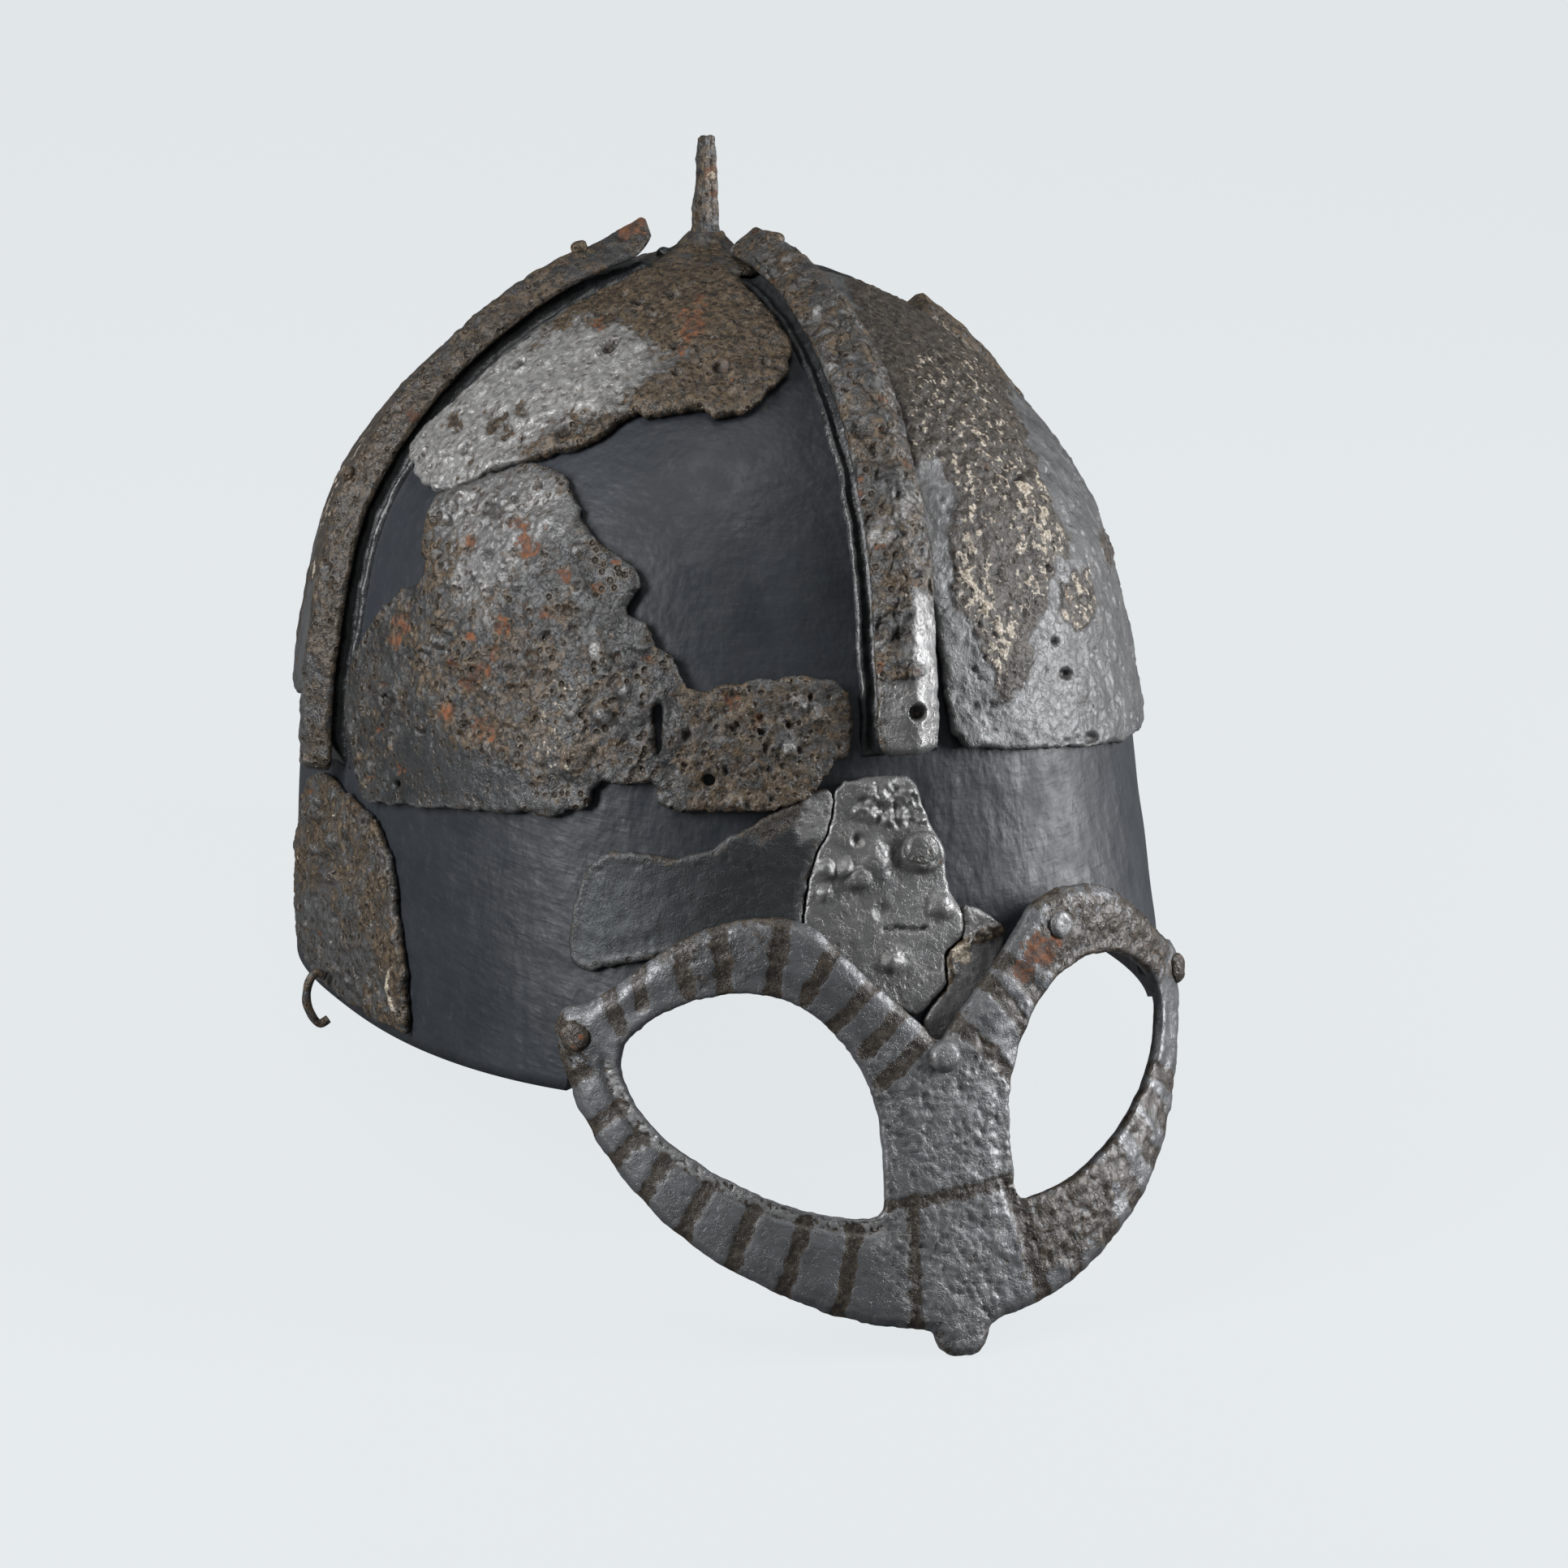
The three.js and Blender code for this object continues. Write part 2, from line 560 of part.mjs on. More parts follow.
const iron = () => finish(0x6b6f73, 0.5, 0.8);
const rustyIron = () => finish(0x5b4f47, 0.75, 0.4);
const paintedShell = () => finish(0x3a3f44, 0.4, 0.1);

// Pieces

const upright = new THREE.Group();

function addPiece(name, geometry, material) {
  const mesh = new THREE.Mesh(geometry, material);
  mesh.name = name;
  upright.add(mesh);
  return mesh;
}

const ribs = Object.values(BAND_LINES).map((line) => ribSolid(line, 0));
const ribClearance = Object.values(BAND_LINES).map((line) => ribSolid(line, PLATE_MARGIN));

function buildShell() {
  let shell = domeLayer(-SHELL_WALL, 0);
  for (const rib of ribs) shell = shell.add(rib);
  for (const mirror of [-1, 1]) shell = shell.subtract(eyeRelief(mirror));
  addPiece('support_shell', geometryOf(shell), paintedShell());
}

function buildPlate(name, layer, outline, holes, material) {
  let plate = layer.intersect(outlineCone(outline));
  for (const rib of ribClearance) plate = plate.subtract(rib);
  for (const [degrees, share] of holes) {
    const hole = drill(PLATE_HOLE_RADIUS, 4 * PLATE_THICKNESS);
    plate = plate.subtract(solidFrom(placeRadially(hole, degrees, share, 0)));
  }
  addPiece(name, geometryOf(largestPiece(plate)), material);
}

function buildBands() {
  const hole = placeRadially(drill(BAND_HOLE_RADIUS, 4 * BAND_CREST), ...BAND_PIN_PLACE, BAND_SEAT);
  const front = bandSolid(BAND_LINES.front, []).subtract(solidFrom(hole));
  addPiece('band_front', geometryOf(front), rustyIron());
  const right = bandSolid(BAND_LINES.right, [RIGHT_BAND_LIFT, RIGHT_BAND_PRELIFT]);
  addPiece('band_right', geometryOf(right), iron());
  addPiece('band_rear', geometryOf(bandSolid(BAND_LINES.rear, [])), rustyIron());
  addPiece('band_left', geometryOf(bandSolid(BAND_LINES.left, [])), rustyIron());
  const pinLength = BAND_CREST - BAND_EDGE;
  const pin = drill(BAND_HOLE_RADIUS - CLEARANCE, pinLength);
  addPiece('band_front_pin', placeRadially(pin, ...BAND_PIN_PLACE, BAND_SEAT + pinLength / 2), rustyIron());
}

function buildCrown() {
  const seat = SHELL_HEIGHT + CLEARANCE;
  const patch = new THREE.CylinderGeometry(
    CROWN_PATCH_TOP_RADIUS,
    CROWN_PATCH_RADIUS,
    CROWN_PATCH_HEIGHT,
    SIDES_ROUND,
  );
  patch.rotateX(Math.PI / 2).translate(0, 0, seat + CROWN_PATCH_HEIGHT / 2);
  addPiece('crown_patch', patch, rustyIron());
  const spike = new THREE.CylinderGeometry(
    SPIKE_TIP_WIDTH / Math.SQRT2,
    SPIKE_BASE_WIDTH / Math.SQRT2,
    SPIKE_HEIGHT,
    SIDES_SQUARE,
  );
  spike.rotateX(Math.PI / 2).rotateZ(radians(180 / SIDES_SQUARE - SPIKE_TURN_DEG));
  spike.translate(0, 0, seat + CROWN_PATCH_HEIGHT + CLEARANCE + SPIKE_HEIGHT / 2);
  addPiece('crown_spike', spike, rustyIron());
}

function buildHook() {
  const half = HOOK_WIRE / 2;
  const seat = BROW_THICKNESS + 2 * CLEARANCE + half;
  const foot = offsetPoint(HOOK_BEARING, HOOK_SHARE, seat);
  const out = surfaceNormal(HOOK_BEARING, HOOK_SHARE).setZ(0).normalize();
  const up = new THREE.Vector3(0, 0, HOOK_DROP);
  const curve = new THREE.CatmullRomCurve3(HOOK_CURVE.map(([reach, drop]) => (
    foot.clone().addScaledVector(out, reach * HOOK_REACH).addScaledVector(up, drop))));
  const ring = Array.from({ length: HOOK_SIDES }, (_, side) => {
    const angle = (2 * Math.PI * side) / HOOK_SIDES;
    return new THREE.Vector2(half * Math.cos(angle), half * Math.sin(angle));
  });
  const path = { steps: HOOK_BENDS, extrudePath: curve };
  addPiece('mail_hook', new THREE.ExtrudeGeometry(new THREE.Shape(ring), path), iron());
}

function buildGuard() {
  let guard = guardSlab().intersect(guardPrism());
  for (const rivet of Object.values(GUARD_RIVETS)) {
    guard = guard.subtract(solidFrom(onGuard(drill(SHANK_RADIUS + CLEARANCE, 4 * GUARD_THICKNESS), rivet)));
  }
  addPiece('spectacle_guard', geometryOf(guard), iron());
  for (const [name, rivet] of Object.entries(GUARD_RIVETS)) {
    const head = domedHead(rivet.radius, rivet.rise, GUARD_THICKNESS);
    addPiece(name, onGuard(head, rivet), rustyIron());
  }
}

function buildRivets() {
  const onBand = BAND_SEAT + BAND_CREST + CLEARANCE;
  for (const [name, { line, share }] of Object.entries(BAND_RIVETS)) {
    const { point, normal } = bandPlace(line, share, onBand);
    const turn = new THREE.Quaternion().setFromUnitVectors(new THREE.Vector3(0, 0, 1), normal);
    const head = domedHead(RIVET_RADIUS, RIVET_HEIGHT, 0).applyQuaternion(turn);
    addPiece(name, head.translate(point.x, point.y, point.z), rustyIron());
  }
  const onBrow = 2 * CLEARANCE + BROW_THICKNESS;
  for (const [name, { place, radius }] of Object.entries(BROW_RIVETS)) {
    addPiece(name, placeRadially(domedHead(radius, RIVET_HEIGHT, 0), ...place, onBrow), rustyIron());
  }
}

buildShell();
const plateLayer = domeLayer(CLEARANCE, CLEARANCE + PLATE_THICKNESS);
const browLayer = domeLayer(CLEARANCE, CLEARANCE + BROW_THICKNESS);
buildPlate('plate_front_right_upper', plateLayer, FRONT_RIGHT_UPPER_OUTLINE, [], iron());
buildPlate('plate_front_right_lower', plateLayer, FRONT_RIGHT_LOWER_OUTLINE, LOWER_PLATE_HOLES, iron());
buildPlate('plate_front_left', plateLayer, FRONT_LEFT_OUTLINE, LEFT_PLATE_HOLES, rustyIron());
buildPlate('plate_rear_right', plateLayer, REAR_RIGHT_OUTLINE, [], rustyIron());
buildPlate('plate_rear_left', plateLayer, REAR_LEFT_OUTLINE, [], rustyIron());
buildPlate('brow_fragment_side', browLayer, BROW_SIDE_OUTLINE, [], iron());
buildPlate('brow_fragment_dark', browLayer, BROW_DARK_OUTLINE, [], rustyIron());
buildPlate('brow_fragment_light', browLayer, BROW_LIGHT_OUTLINE, [], iron());
buildPlate('brow_strip', browLayer, BROW_STRIP_OUTLINE, [], iron());
buildBands();
buildCrown();
buildHook();
buildGuard();
buildRivets();

// Laid back at rest: the nape's rim and the nose guard's tip share one plane, and the origin is
// under the middle of the whole.
upright.rotation.x = -REST_TILT;
const helmet = new THREE.Group();
helmet.add(upright);
helmet.updateMatrixWorld(true);
const box = new THREE.Box3().setFromObject(helmet, true);
upright.position.set(
  -(box.min.x + box.max.x) / 2,
  -(box.min.y + box.max.y) / 2,
  -box.min.z,
);

export default helmet;
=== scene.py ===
# The dressed look of an iron helmet of the spectacle type: corroded fragments on a painted support shell.
# Shapes are worked out in millimetres in the upright frame: +Z up, the wearer looks along -Y, and the
# rim lies in the plane Z = 0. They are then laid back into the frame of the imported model.

import itertools
import math

import bpy
import numpy as np
from mathutils import Matrix, Vector
from mathutils.geometry import delaunay_2d_cdt


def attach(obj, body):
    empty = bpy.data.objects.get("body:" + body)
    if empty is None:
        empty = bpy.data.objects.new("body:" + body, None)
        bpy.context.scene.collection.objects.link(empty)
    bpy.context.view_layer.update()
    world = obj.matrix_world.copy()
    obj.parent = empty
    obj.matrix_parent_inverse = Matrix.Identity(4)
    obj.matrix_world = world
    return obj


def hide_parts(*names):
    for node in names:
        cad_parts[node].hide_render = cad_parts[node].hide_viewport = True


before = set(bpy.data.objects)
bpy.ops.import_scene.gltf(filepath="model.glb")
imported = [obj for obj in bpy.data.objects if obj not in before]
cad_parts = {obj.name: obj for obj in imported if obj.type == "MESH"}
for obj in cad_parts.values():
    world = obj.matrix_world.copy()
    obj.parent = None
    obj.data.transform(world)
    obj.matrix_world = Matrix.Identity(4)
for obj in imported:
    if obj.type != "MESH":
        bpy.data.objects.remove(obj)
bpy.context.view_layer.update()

# Sizes of the model, in mm
SHELL_HALF_WIDTH = 93.0
SHELL_FRONT = 123.0
SHELL_BACK = 112.0
SHELL_HEIGHT = 166.0
SHELL_WALL = 3.0
CLEARANCE = 0.3
RIB_HALF_WIDTH = 5.5
RIB_HEIGHT = 3.6
BAND_HALF_WIDTH = 6.7
BAND_EDGE = 1.8
BAND_CREST = 5.4
BAND_SEAT = RIB_HEIGHT + CLEARANCE
FRONT_BAND_LEAN = 7.0
RIGHT_BAND_LIFT = 1.6
PLATE_THICKNESS = 2.5
BROW_THICKNESS = 2.3
CROWN_PATCH_HEIGHT = 6.6
SPIKE_HEIGHT = 21.5
SPIKE_BASE = 5.6
SPIKE_TIP = 3.4
GUARD_HALF_WIDTH = 75.0
GUARD_HEIGHT = 94.0
GUARD_DROP = 53.5
GUARD_STAND_OFF = 2.35
GUARD_SIDE_LEAD = 11.6
GUARD_FULLNESS = 2.2
GUARD_SLOPE = 0.19
GUARD_THICKNESS = 3.6
EYE_RELIEF = 3.0
GUARD_LEAD = SHELL_FRONT + BROW_THICKNESS + GUARD_THICKNESS + GUARD_STAND_OFF + 2 * CLEARANCE
REST_TILT = math.atan2(GUARD_DROP, SHELL_BACK + GUARD_LEAD + GUARD_SLOPE * GUARD_DROP - GUARD_THICKNESS)

# A point inside the dome from which rays meet its surface, and the radius of the flat maps
CENTRE_HEIGHT = 40.0
MAP_RADIUS = 105.0
# Spacing of the undersides' meshes, and how far a mesh's inner points stray, as a share of their spacing
UNDERSIDE_SPACING = 5.0
GRID_STRAY = 0.12
LINE_SAMPLES = 500
# Masks carried on each piece's points: one holds bare metal together with painted highlights, and the one for
# hollows holds painted shade in hollows, pits, grooves and holes
MASK_NAMES = ("rust", "brown", "crust", "bare_metal_and_highlight", "smooth", "hollow", "slate")

# Sections from crown to rim: share of the height, half width, front, back and fullness of the plan.
STATIONS = np.array([
    [1.0, 0.0, 0.0, 0.0, 2.0],
    [0.995, 0.1, 0.1, 0.1, 2.0],
    [0.98, 0.222, 0.225, 0.25, 2.0],
    [0.95, 0.378, 0.37, 0.41, 2.0],
    [0.9, 0.53, 0.5, 0.565, 2.05],
    [0.83, 0.68, 0.625, 0.7, 2.1],
    [0.75, 0.8, 0.715, 0.8, 2.15],
    [0.66, 0.89, 0.785, 0.875, 2.2],
    [0.54, 0.941, 0.841, 0.94, 2.25],
    [0.42, 0.973, 0.878, 0.973, 2.3],
    [0.3, 0.984, 0.907, 0.99, 2.36],
    [0.18, 0.995, 0.947, 1.0, 2.42],
    [0.08, 1.0, 0.985, 1.0, 2.46],
    [0.0, 1.0, 1.0, 1.0, 2.5],
])

# Outlines of the fragments: degrees from the front towards the wearer's left, share of the height.
OUTLINES = {
    "plate_front_right_upper": [
        [-10, 0.986], [-60, 0.986], [-66, 0.96], [-70, 0.935], [-74, 0.88], [-79, 0.835], [-85, 0.775],
        [-84, 0.756], [-75, 0.728], [-67, 0.722], [-58, 0.752], [-51, 0.771], [-44, 0.788],
        [-39, 0.806], [-34, 0.836], [-31, 0.83], [-23, 0.842], [-21, 0.83], [-15, 0.836], [-4, 0.89],
        [-5, 0.94],
    ],
    "plate_front_right_lower": [
        [-69, 0.713], [-62, 0.734], [-55, 0.755], [-50, 0.768], [-44.5, 0.764], [-40.5, 0.729],
        [-39, 0.706], [-36.5, 0.683], [-33, 0.67], [-30, 0.642], [-32.5, 0.604], [-29, 0.583],
        [-28, 0.563], [-25.5, 0.552], [-25, 0.515], [-22.5, 0.505], [-21, 0.515], [-15, 0.525],
        [-6, 0.52], [-6, 0.424], [-8.5, 0.416], [-11, 0.377], [-16.5, 0.361], [-27, 0.361],
        [-28, 0.4], [-30.5, 0.395], [-35, 0.396], [-35.3, 0.357], [-43, 0.345], [-57, 0.333],
        [-75, 0.308], [-78, 0.336], [-84, 0.42], [-82, 0.5], [-72, 0.59], [-66, 0.604],
        [-64.5, 0.625], [-67, 0.653],
    ],
    "plate_front_left": [
        [14, 0.975], [24, 0.976], [55, 0.978], [72, 0.95], [78, 0.88], [80, 0.75], [82, 0.6],
        [82, 0.48], [80, 0.4], [70, 0.38], [60, 0.374], [51, 0.374], [32, 0.383], [14, 0.411],
        [6.5, 0.425], [6, 0.5], [6, 0.59], [6.2, 0.65], [7.5, 0.729], [10, 0.826], [12, 0.9],
    ],
    "plate_rear_right": [
        [-99, 0.43], [-112, 0.39], [-128, 0.405], [-141, 0.37], [-156, 0.39], [-172, 0.4],
        [-174, 0.55], [-172, 0.74], [-174, 0.86], [-160, 0.95], [-135, 0.965], [-112, 0.955],
        [-103, 0.88], [-100, 0.75], [-98, 0.6],
    ],
    "plate_rear_left": [
        [98, 0.4], [115, 0.375], [131, 0.395], [136, 0.47], [146, 0.46], [150, 0.378], [172, 0.41],
        [174, 0.6], [172, 0.8], [165, 0.93], [140, 0.96], [115, 0.955], [103, 0.85], [99, 0.65],
    ],
    "brow_fragment_side": [
        [-101, 0.292], [-96, 0.31], [-90, 0.315], [-84, 0.3], [-77, 0.298], [-72, 0.28],
        [-67.5, 0.236], [-66, 0.173], [-64, 0.111], [-62.5, 0.018], [-66, 0.022], [-71, 0.018],
        [-77, 0.022], [-86.5, 0.016], [-96, 0.02], [-103, 0.03], [-108, 0.06], [-109, 0.15],
        [-106, 0.25],
    ],
    "brow_fragment_dark": [
        [-34.5, 0.3], [-32, 0.31], [-26, 0.302], [-22.5, 0.31], [-19.5, 0.33], [-16.5, 0.35],
        [-13.3, 0.372], [-11, 0.38], [-8.5, 0.386], [-8.9, 0.34], [-11.5, 0.29], [-12.75, 0.225],
        [-12.9, 0.186], [-17, 0.19], [-24, 0.19], [-31, 0.168], [-35.2, 0.155], [-36.8, 0.17],
        [-37.3, 0.206], [-36.3, 0.268],
    ],
    "brow_fragment_light": [
        [-8.2, 0.392], [-3, 0.396], [1, 0.392], [2.3, 0.339], [4, 0.3], [3.8, 0.25], [5.2, 0.222],
        [5.1, 0.186], [2.6, 0.168], [2.3, 0.147], [2.6, 0.127], [0.7, 0.112], [-0.9, 0.098],
        [-2.5, 0.1], [-6, 0.125], [-10, 0.165], [-12.6, 0.18], [-12.4, 0.225], [-11.2, 0.29],
        [-8.6, 0.34],
    ],
    "brow_strip": [
        [5.5, 0.228], [7.9, 0.212], [10.4, 0.192], [9.4, 0.16], [5.6, 0.1], [2.6, 0.052],
        [0.9, 0.05], [-0.6, 0.085], [1.0, 0.107], [2.9, 0.124], [2.7, 0.148], [2.95, 0.165], [5.4, 0.184],
    ],
}

# Half of the guard's outline and its eye: share of the half width, share of the height from the tip.
GUARD_OUTER = [
    [0, 0.69], [0.06, 0.745], [0.165, 0.82], [0.28, 0.915], [0.35, 0.975], [0.44, 0.995],
    [0.56, 0.99], [0.67, 0.957], [0.765, 0.9], [0.85, 0.84], [0.93, 0.785], [0.98, 0.775],
    [1, 0.73], [0.99, 0.65], [0.965, 0.565], [0.925, 0.48], [0.862, 0.39], [0.775, 0.303],
    [0.66, 0.23], [0.53, 0.172], [0.385, 0.12], [0.24, 0.084], [0.09, 0.068], [0.07, 0.022],
    [0.035, 0], [0, 0],
]
GUARD_EYE = [
    [0.868, 0.65], [0.845, 0.72], [0.765, 0.778], [0.655, 0.82], [0.528, 0.834], [0.41, 0.808],
    [0.315, 0.745], [0.24, 0.657], [0.2, 0.56], [0.193, 0.452], [0.203, 0.32], [0.333, 0.327],
    [0.48, 0.358], [0.63, 0.415], [0.755, 0.485], [0.835, 0.56],
]

# The bands' lines: bearing, lowest and highest share of the height, sideways lean at the crown.
BANDS = {
    "front": (0.0, 0.42, 0.995, FRONT_BAND_LEAN),
    "right": (-90.0, 0.33, 0.99, 0.0),
    "rear": (180.0, 0.36, 0.98, 0.0),
    "left": (90.0, 0.36, 0.95, 0.0),
}

# The camera in the upright frame. Photograph coordinates are in the 1932 pixel wide square frame.
PHOTO_SIZE = 1932.0
FOCAL_PIXELS = 5200.0
SENSOR_WIDTH = 36.0
CAMERA_DISTANCE = 1000.0
CAMERA_AZIMUTH = math.radians(-23.0)
CAMERA_ELEVATION = math.radians(12.0)
CAMERA_ROLL = math.radians(-0.3)
AIM_ACROSS = 17.5
AIM_HEIGHT = 42.5


# Frames

def rotate_back(points):
    """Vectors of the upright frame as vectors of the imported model's frame."""
    cosine, sine = math.cos(REST_TILT), math.sin(REST_TILT)
    x, y, z = np.moveaxis(np.asarray(points, float), -1, 0)
    return np.stack([x, cosine * y + sine * z, -sine * y + cosine * z], -1)


def rotate_upright(points):
    cosine, sine = math.cos(REST_TILT), math.sin(REST_TILT)
    x, y, z = np.moveaxis(np.asarray(points, float), -1, 0)
    return np.stack([x, cosine * y - sine * z, sine * y + cosine * z], -1)


def node_points(name):
    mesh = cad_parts[name].data
    flat = np.zeros(len(mesh.vertices) * 3)
    mesh.vertices.foreach_get("co", flat)
    return flat.reshape(-1, 3) * 1000


def find_offset():
    """How far the laid back model is shifted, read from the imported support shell."""
    points = rotate_upright(node_points("support_shell"))
    lowest = points[:, 2].min()
    rim = points[points[:, 2] < lowest + 0.05]
    return np.array([(points[:, 0].min() + points[:, 0].max()) / 2, rim[:, 1].max() - SHELL_BACK, lowest])


OFFSET = find_offset()


def to_model(points):
    """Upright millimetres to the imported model's metres."""
    return rotate_back(np.asarray(points, float) + OFFSET) / 1000


def unit(vectors):
    return vectors / np.maximum(np.linalg.norm(vectors, axis=-1, keepdims=True), 1e-9)


def camera_axes():
    a, e, r = CAMERA_AZIMUTH, CAMERA_ELEVATION, CAMERA_ROLL
    back = np.array([math.sin(a) * math.cos(e), -math.cos(a) * math.cos(e), math.sin(e)])
    right = np.array([math.cos(a), math.sin(a), 0.0])
    up = np.cross(back, right)
    place = right * AIM_ACROSS + np.array([0, 0, AIM_HEIGHT]) + back * CAMERA_DISTANCE
    return place, right * math.cos(r) + up * math.sin(r), up * math.cos(r) - right * math.sin(r), back


CAMERA_PLACE, CAMERA_RIGHT, CAMERA_UP, CAMERA_BACK = camera_axes()


def to_photo(points):
    """Photograph coordinates of upright points."""
    q = np.asarray(points, float) - CAMERA_PLACE
    depth = -q @ CAMERA_BACK
    scale = FOCAL_PIXELS / depth
    middle = PHOTO_SIZE / 2
    return np.stack([middle + scale * (q @ CAMERA_RIGHT), middle - scale * (q @ CAMERA_UP)], -1)


# Noise

def hashed(cell, seed):
    value = cell.astype(np.int64).astype(np.uint32)
    key = (value[:, 0] * np.uint32(0x8DA6B343)) ^ (value[:, 1] * np.uint32(0xD8163841))
    key = key ^ (value[:, 2] * np.uint32(0xCB1AB31F)) ^ np.uint32((seed * 0x9E3779B1) & 0xFFFFFFFF)
    key = (key ^ (key >> np.uint32(15))) * np.uint32(0x2C1B3C6D)
    key = (key ^ (key >> np.uint32(12))) * np.uint32(0x297A2D39)
    key = key ^ (key >> np.uint32(15))
    return np.stack([key & np.uint32(1023), (key >> np.uint32(10)) & np.uint32(1023),
                     (key >> np.uint32(20)) & np.uint32(1023)], 1) / 1023.0


def noise(points, size, seed=0):
    """Smooth noise of about -1 to 1 with features of the given size."""
    q = points / size + 57.3
    cell = np.floor(q)
    part = q - cell
    ease = part * part * part * (part * (part * 6 - 15) + 10)
    total = np.zeros(len(q))
    for corner in itertools.product((0, 1), repeat=3):
        step = np.array(corner)
        slope = hashed(cell + step, seed) * 2 - 1
        weight = np.prod(np.where(step, ease, 1 - ease), axis=1)
        total += weight * np.sum(slope * (part - step), axis=1)
    return total * 1.6


def layered(points, size, layers, seed=0, gain=0.5):
    total = np.zeros(len(points))
    for layer in range(layers):
        total += gain ** layer * noise(points, size / 2 ** layer, seed + layer)
    return total


def cells(points, size, seed=0):
    """Distances to the nearest and second nearest scattered site, in sizes, and the site's own number."""
    q = points / size + 31.9
    cell = np.floor(q)
    first = np.full(len(q), 9.0)
    second = np.full(len(q), 9.0)
    own = np.zeros(len(q))
    for corner in itertools.product((-1, 0, 1), repeat=3):
        draw = hashed(cell + np.array(corner), seed)
        far = np.linalg.norm(cell + np.array(corner) + draw - q, axis=1)
        nearer = far < first
        second = np.where(nearer, first, np.minimum(second, far))
        own = np.where(nearer, (draw[:, 0] * 7.13 + draw[:, 1] * 3.7) % 1.0, own)
        first = np.where(nearer, far, first)
    return first, second, own


def step_up(value, low, high):
    part = np.clip((value - low) / (high - low), 0, 1)
    return part * part * (3 - 2 * part)


def terraces(value, steps, sharp):
    """value drawn into flat steps with steep edges."""
    scaled = value * steps
    base = np.floor(scaled)
    return (base + step_up(scaled - base, 0.5 - sharp, 0.5 + sharp)) / steps


# The dome

def smooth_curve(xs, ys):
    """A curve through all points that doesn't overshoot between them."""
    width = np.diff(xs)
    slope = np.diff(ys) / width
    tangent = np.zeros(len(xs))
    same = slope[:-1] * slope[1:] > 0
    tangent[1:-1][same] = 2 / (1 / slope[:-1][same] + 1 / slope[1:][same])
    tangent[0], tangent[-1] = slope[0], slope[-1]

    def at(x):
        index = np.clip(np.searchsorted(xs, x) - 1, 0, len(xs) - 2)
        t = np.clip((x - xs[index]) / width[index], 0, 1)
        low, high = ys[index], ys[index + 1]
        return (low * (1 + 2 * t) * (1 - t) ** 2 + high * t * t * (3 - 2 * t)
                + width[index] * (tangent[index] * t * (1 - t) ** 2 - tangent[index + 1] * t * t * (1 - t)))
    return at


FALL = np.sqrt(1 - STATIONS[:, 0])
WIDTH_CURVE = smooth_curve(FALL, STATIONS[:, 1] * SHELL_HALF_WIDTH)
FRONT_CURVE = smooth_curve(FALL, STATIONS[:, 2] * SHELL_FRONT)
BACK_CURVE = smooth_curve(FALL, STATIONS[:, 3] * SHELL_BACK)
FULLNESS_CURVE = smooth_curve(FALL, STATIONS[:, 4])
HIGHEST = 0.9999


def dome(bearing, share):
    """Points on the dome's outer surface. The bearing is in radians."""
    fall = np.sqrt(1 - np.clip(share, 0, HIGHEST))
    full = FULLNESS_CURVE(fall)
    across, ahead = np.sin(bearing), np.cos(bearing)
    length = np.where(ahead > 0, FRONT_CURVE(fall), BACK_CURVE(fall))
    total = np.abs(across / WIDTH_CURVE(fall)) ** full + np.abs(ahead / length) ** full
    radius = total ** (-1 / full)
    return np.stack([across * radius, -ahead * radius, share * SHELL_HEIGHT * np.ones_like(radius)], -1)


def dome_normal(bearing, share):
    turn, rise = 0.01, 0.002
    around = dome(bearing + turn, share) - dome(bearing - turn, share)
    along = dome(bearing, np.minimum(share + rise, HIGHEST)) - dome(bearing, np.maximum(share - rise, 0))
    return unit(np.cross(around, along))


def share_towards(bearing, steepness):
    """The share of height at which a ray from the dome's centre leaves it."""
    low, high = np.zeros_like(bearing), np.full_like(bearing, HIGHEST)
    for _ in range(26):
        middle = (low + high) / 2
        point = dome(bearing, middle)
        above = point[:, 2] - CENTRE_HEIGHT > steepness * np.hypot(point[:, 0], point[:, 1])
        low, high = np.where(above, low, middle), np.where(above, middle, high)
    return (low + high) / 2


class FlatMap:
    """A nearly true-to-scale flat map of the dome around a middle bearing and share."""

    def __init__(self, bearing, share):
        self.scale = 2 * MAP_RADIUS
        point = dome(np.array([bearing]), np.array([share]))[0]
        self.out = unit(point - [0, 0, CENTRE_HEIGHT])
        self.right = unit(np.cross([0, 0, 1.0], self.out))
        self.up = np.cross(self.out, self.right)

    def flat(self, points):
        d = unit(points - np.array([0, 0, CENTRE_HEIGHT]))
        scale = self.scale / (1 + d @ self.out)
        return np.stack([scale * (d @ self.right), scale * (d @ self.up)], -1)

    def place(self, flat):
        """Bearing and share of flat points."""
        q = flat / self.scale
        square = np.sum(q * q, axis=1)[:, None]
        d = (2 * q[:, :1] * self.right + 2 * q[:, 1:] * self.up + (1 - square) * self.out) / (1 + square)
        bearing = np.arctan2(d[:, 0], -d[:, 1])
        return bearing, share_towards(bearing, d[:, 2] / np.hypot(d[:, 0], d[:, 1]))


# Meshes

pieces = {}


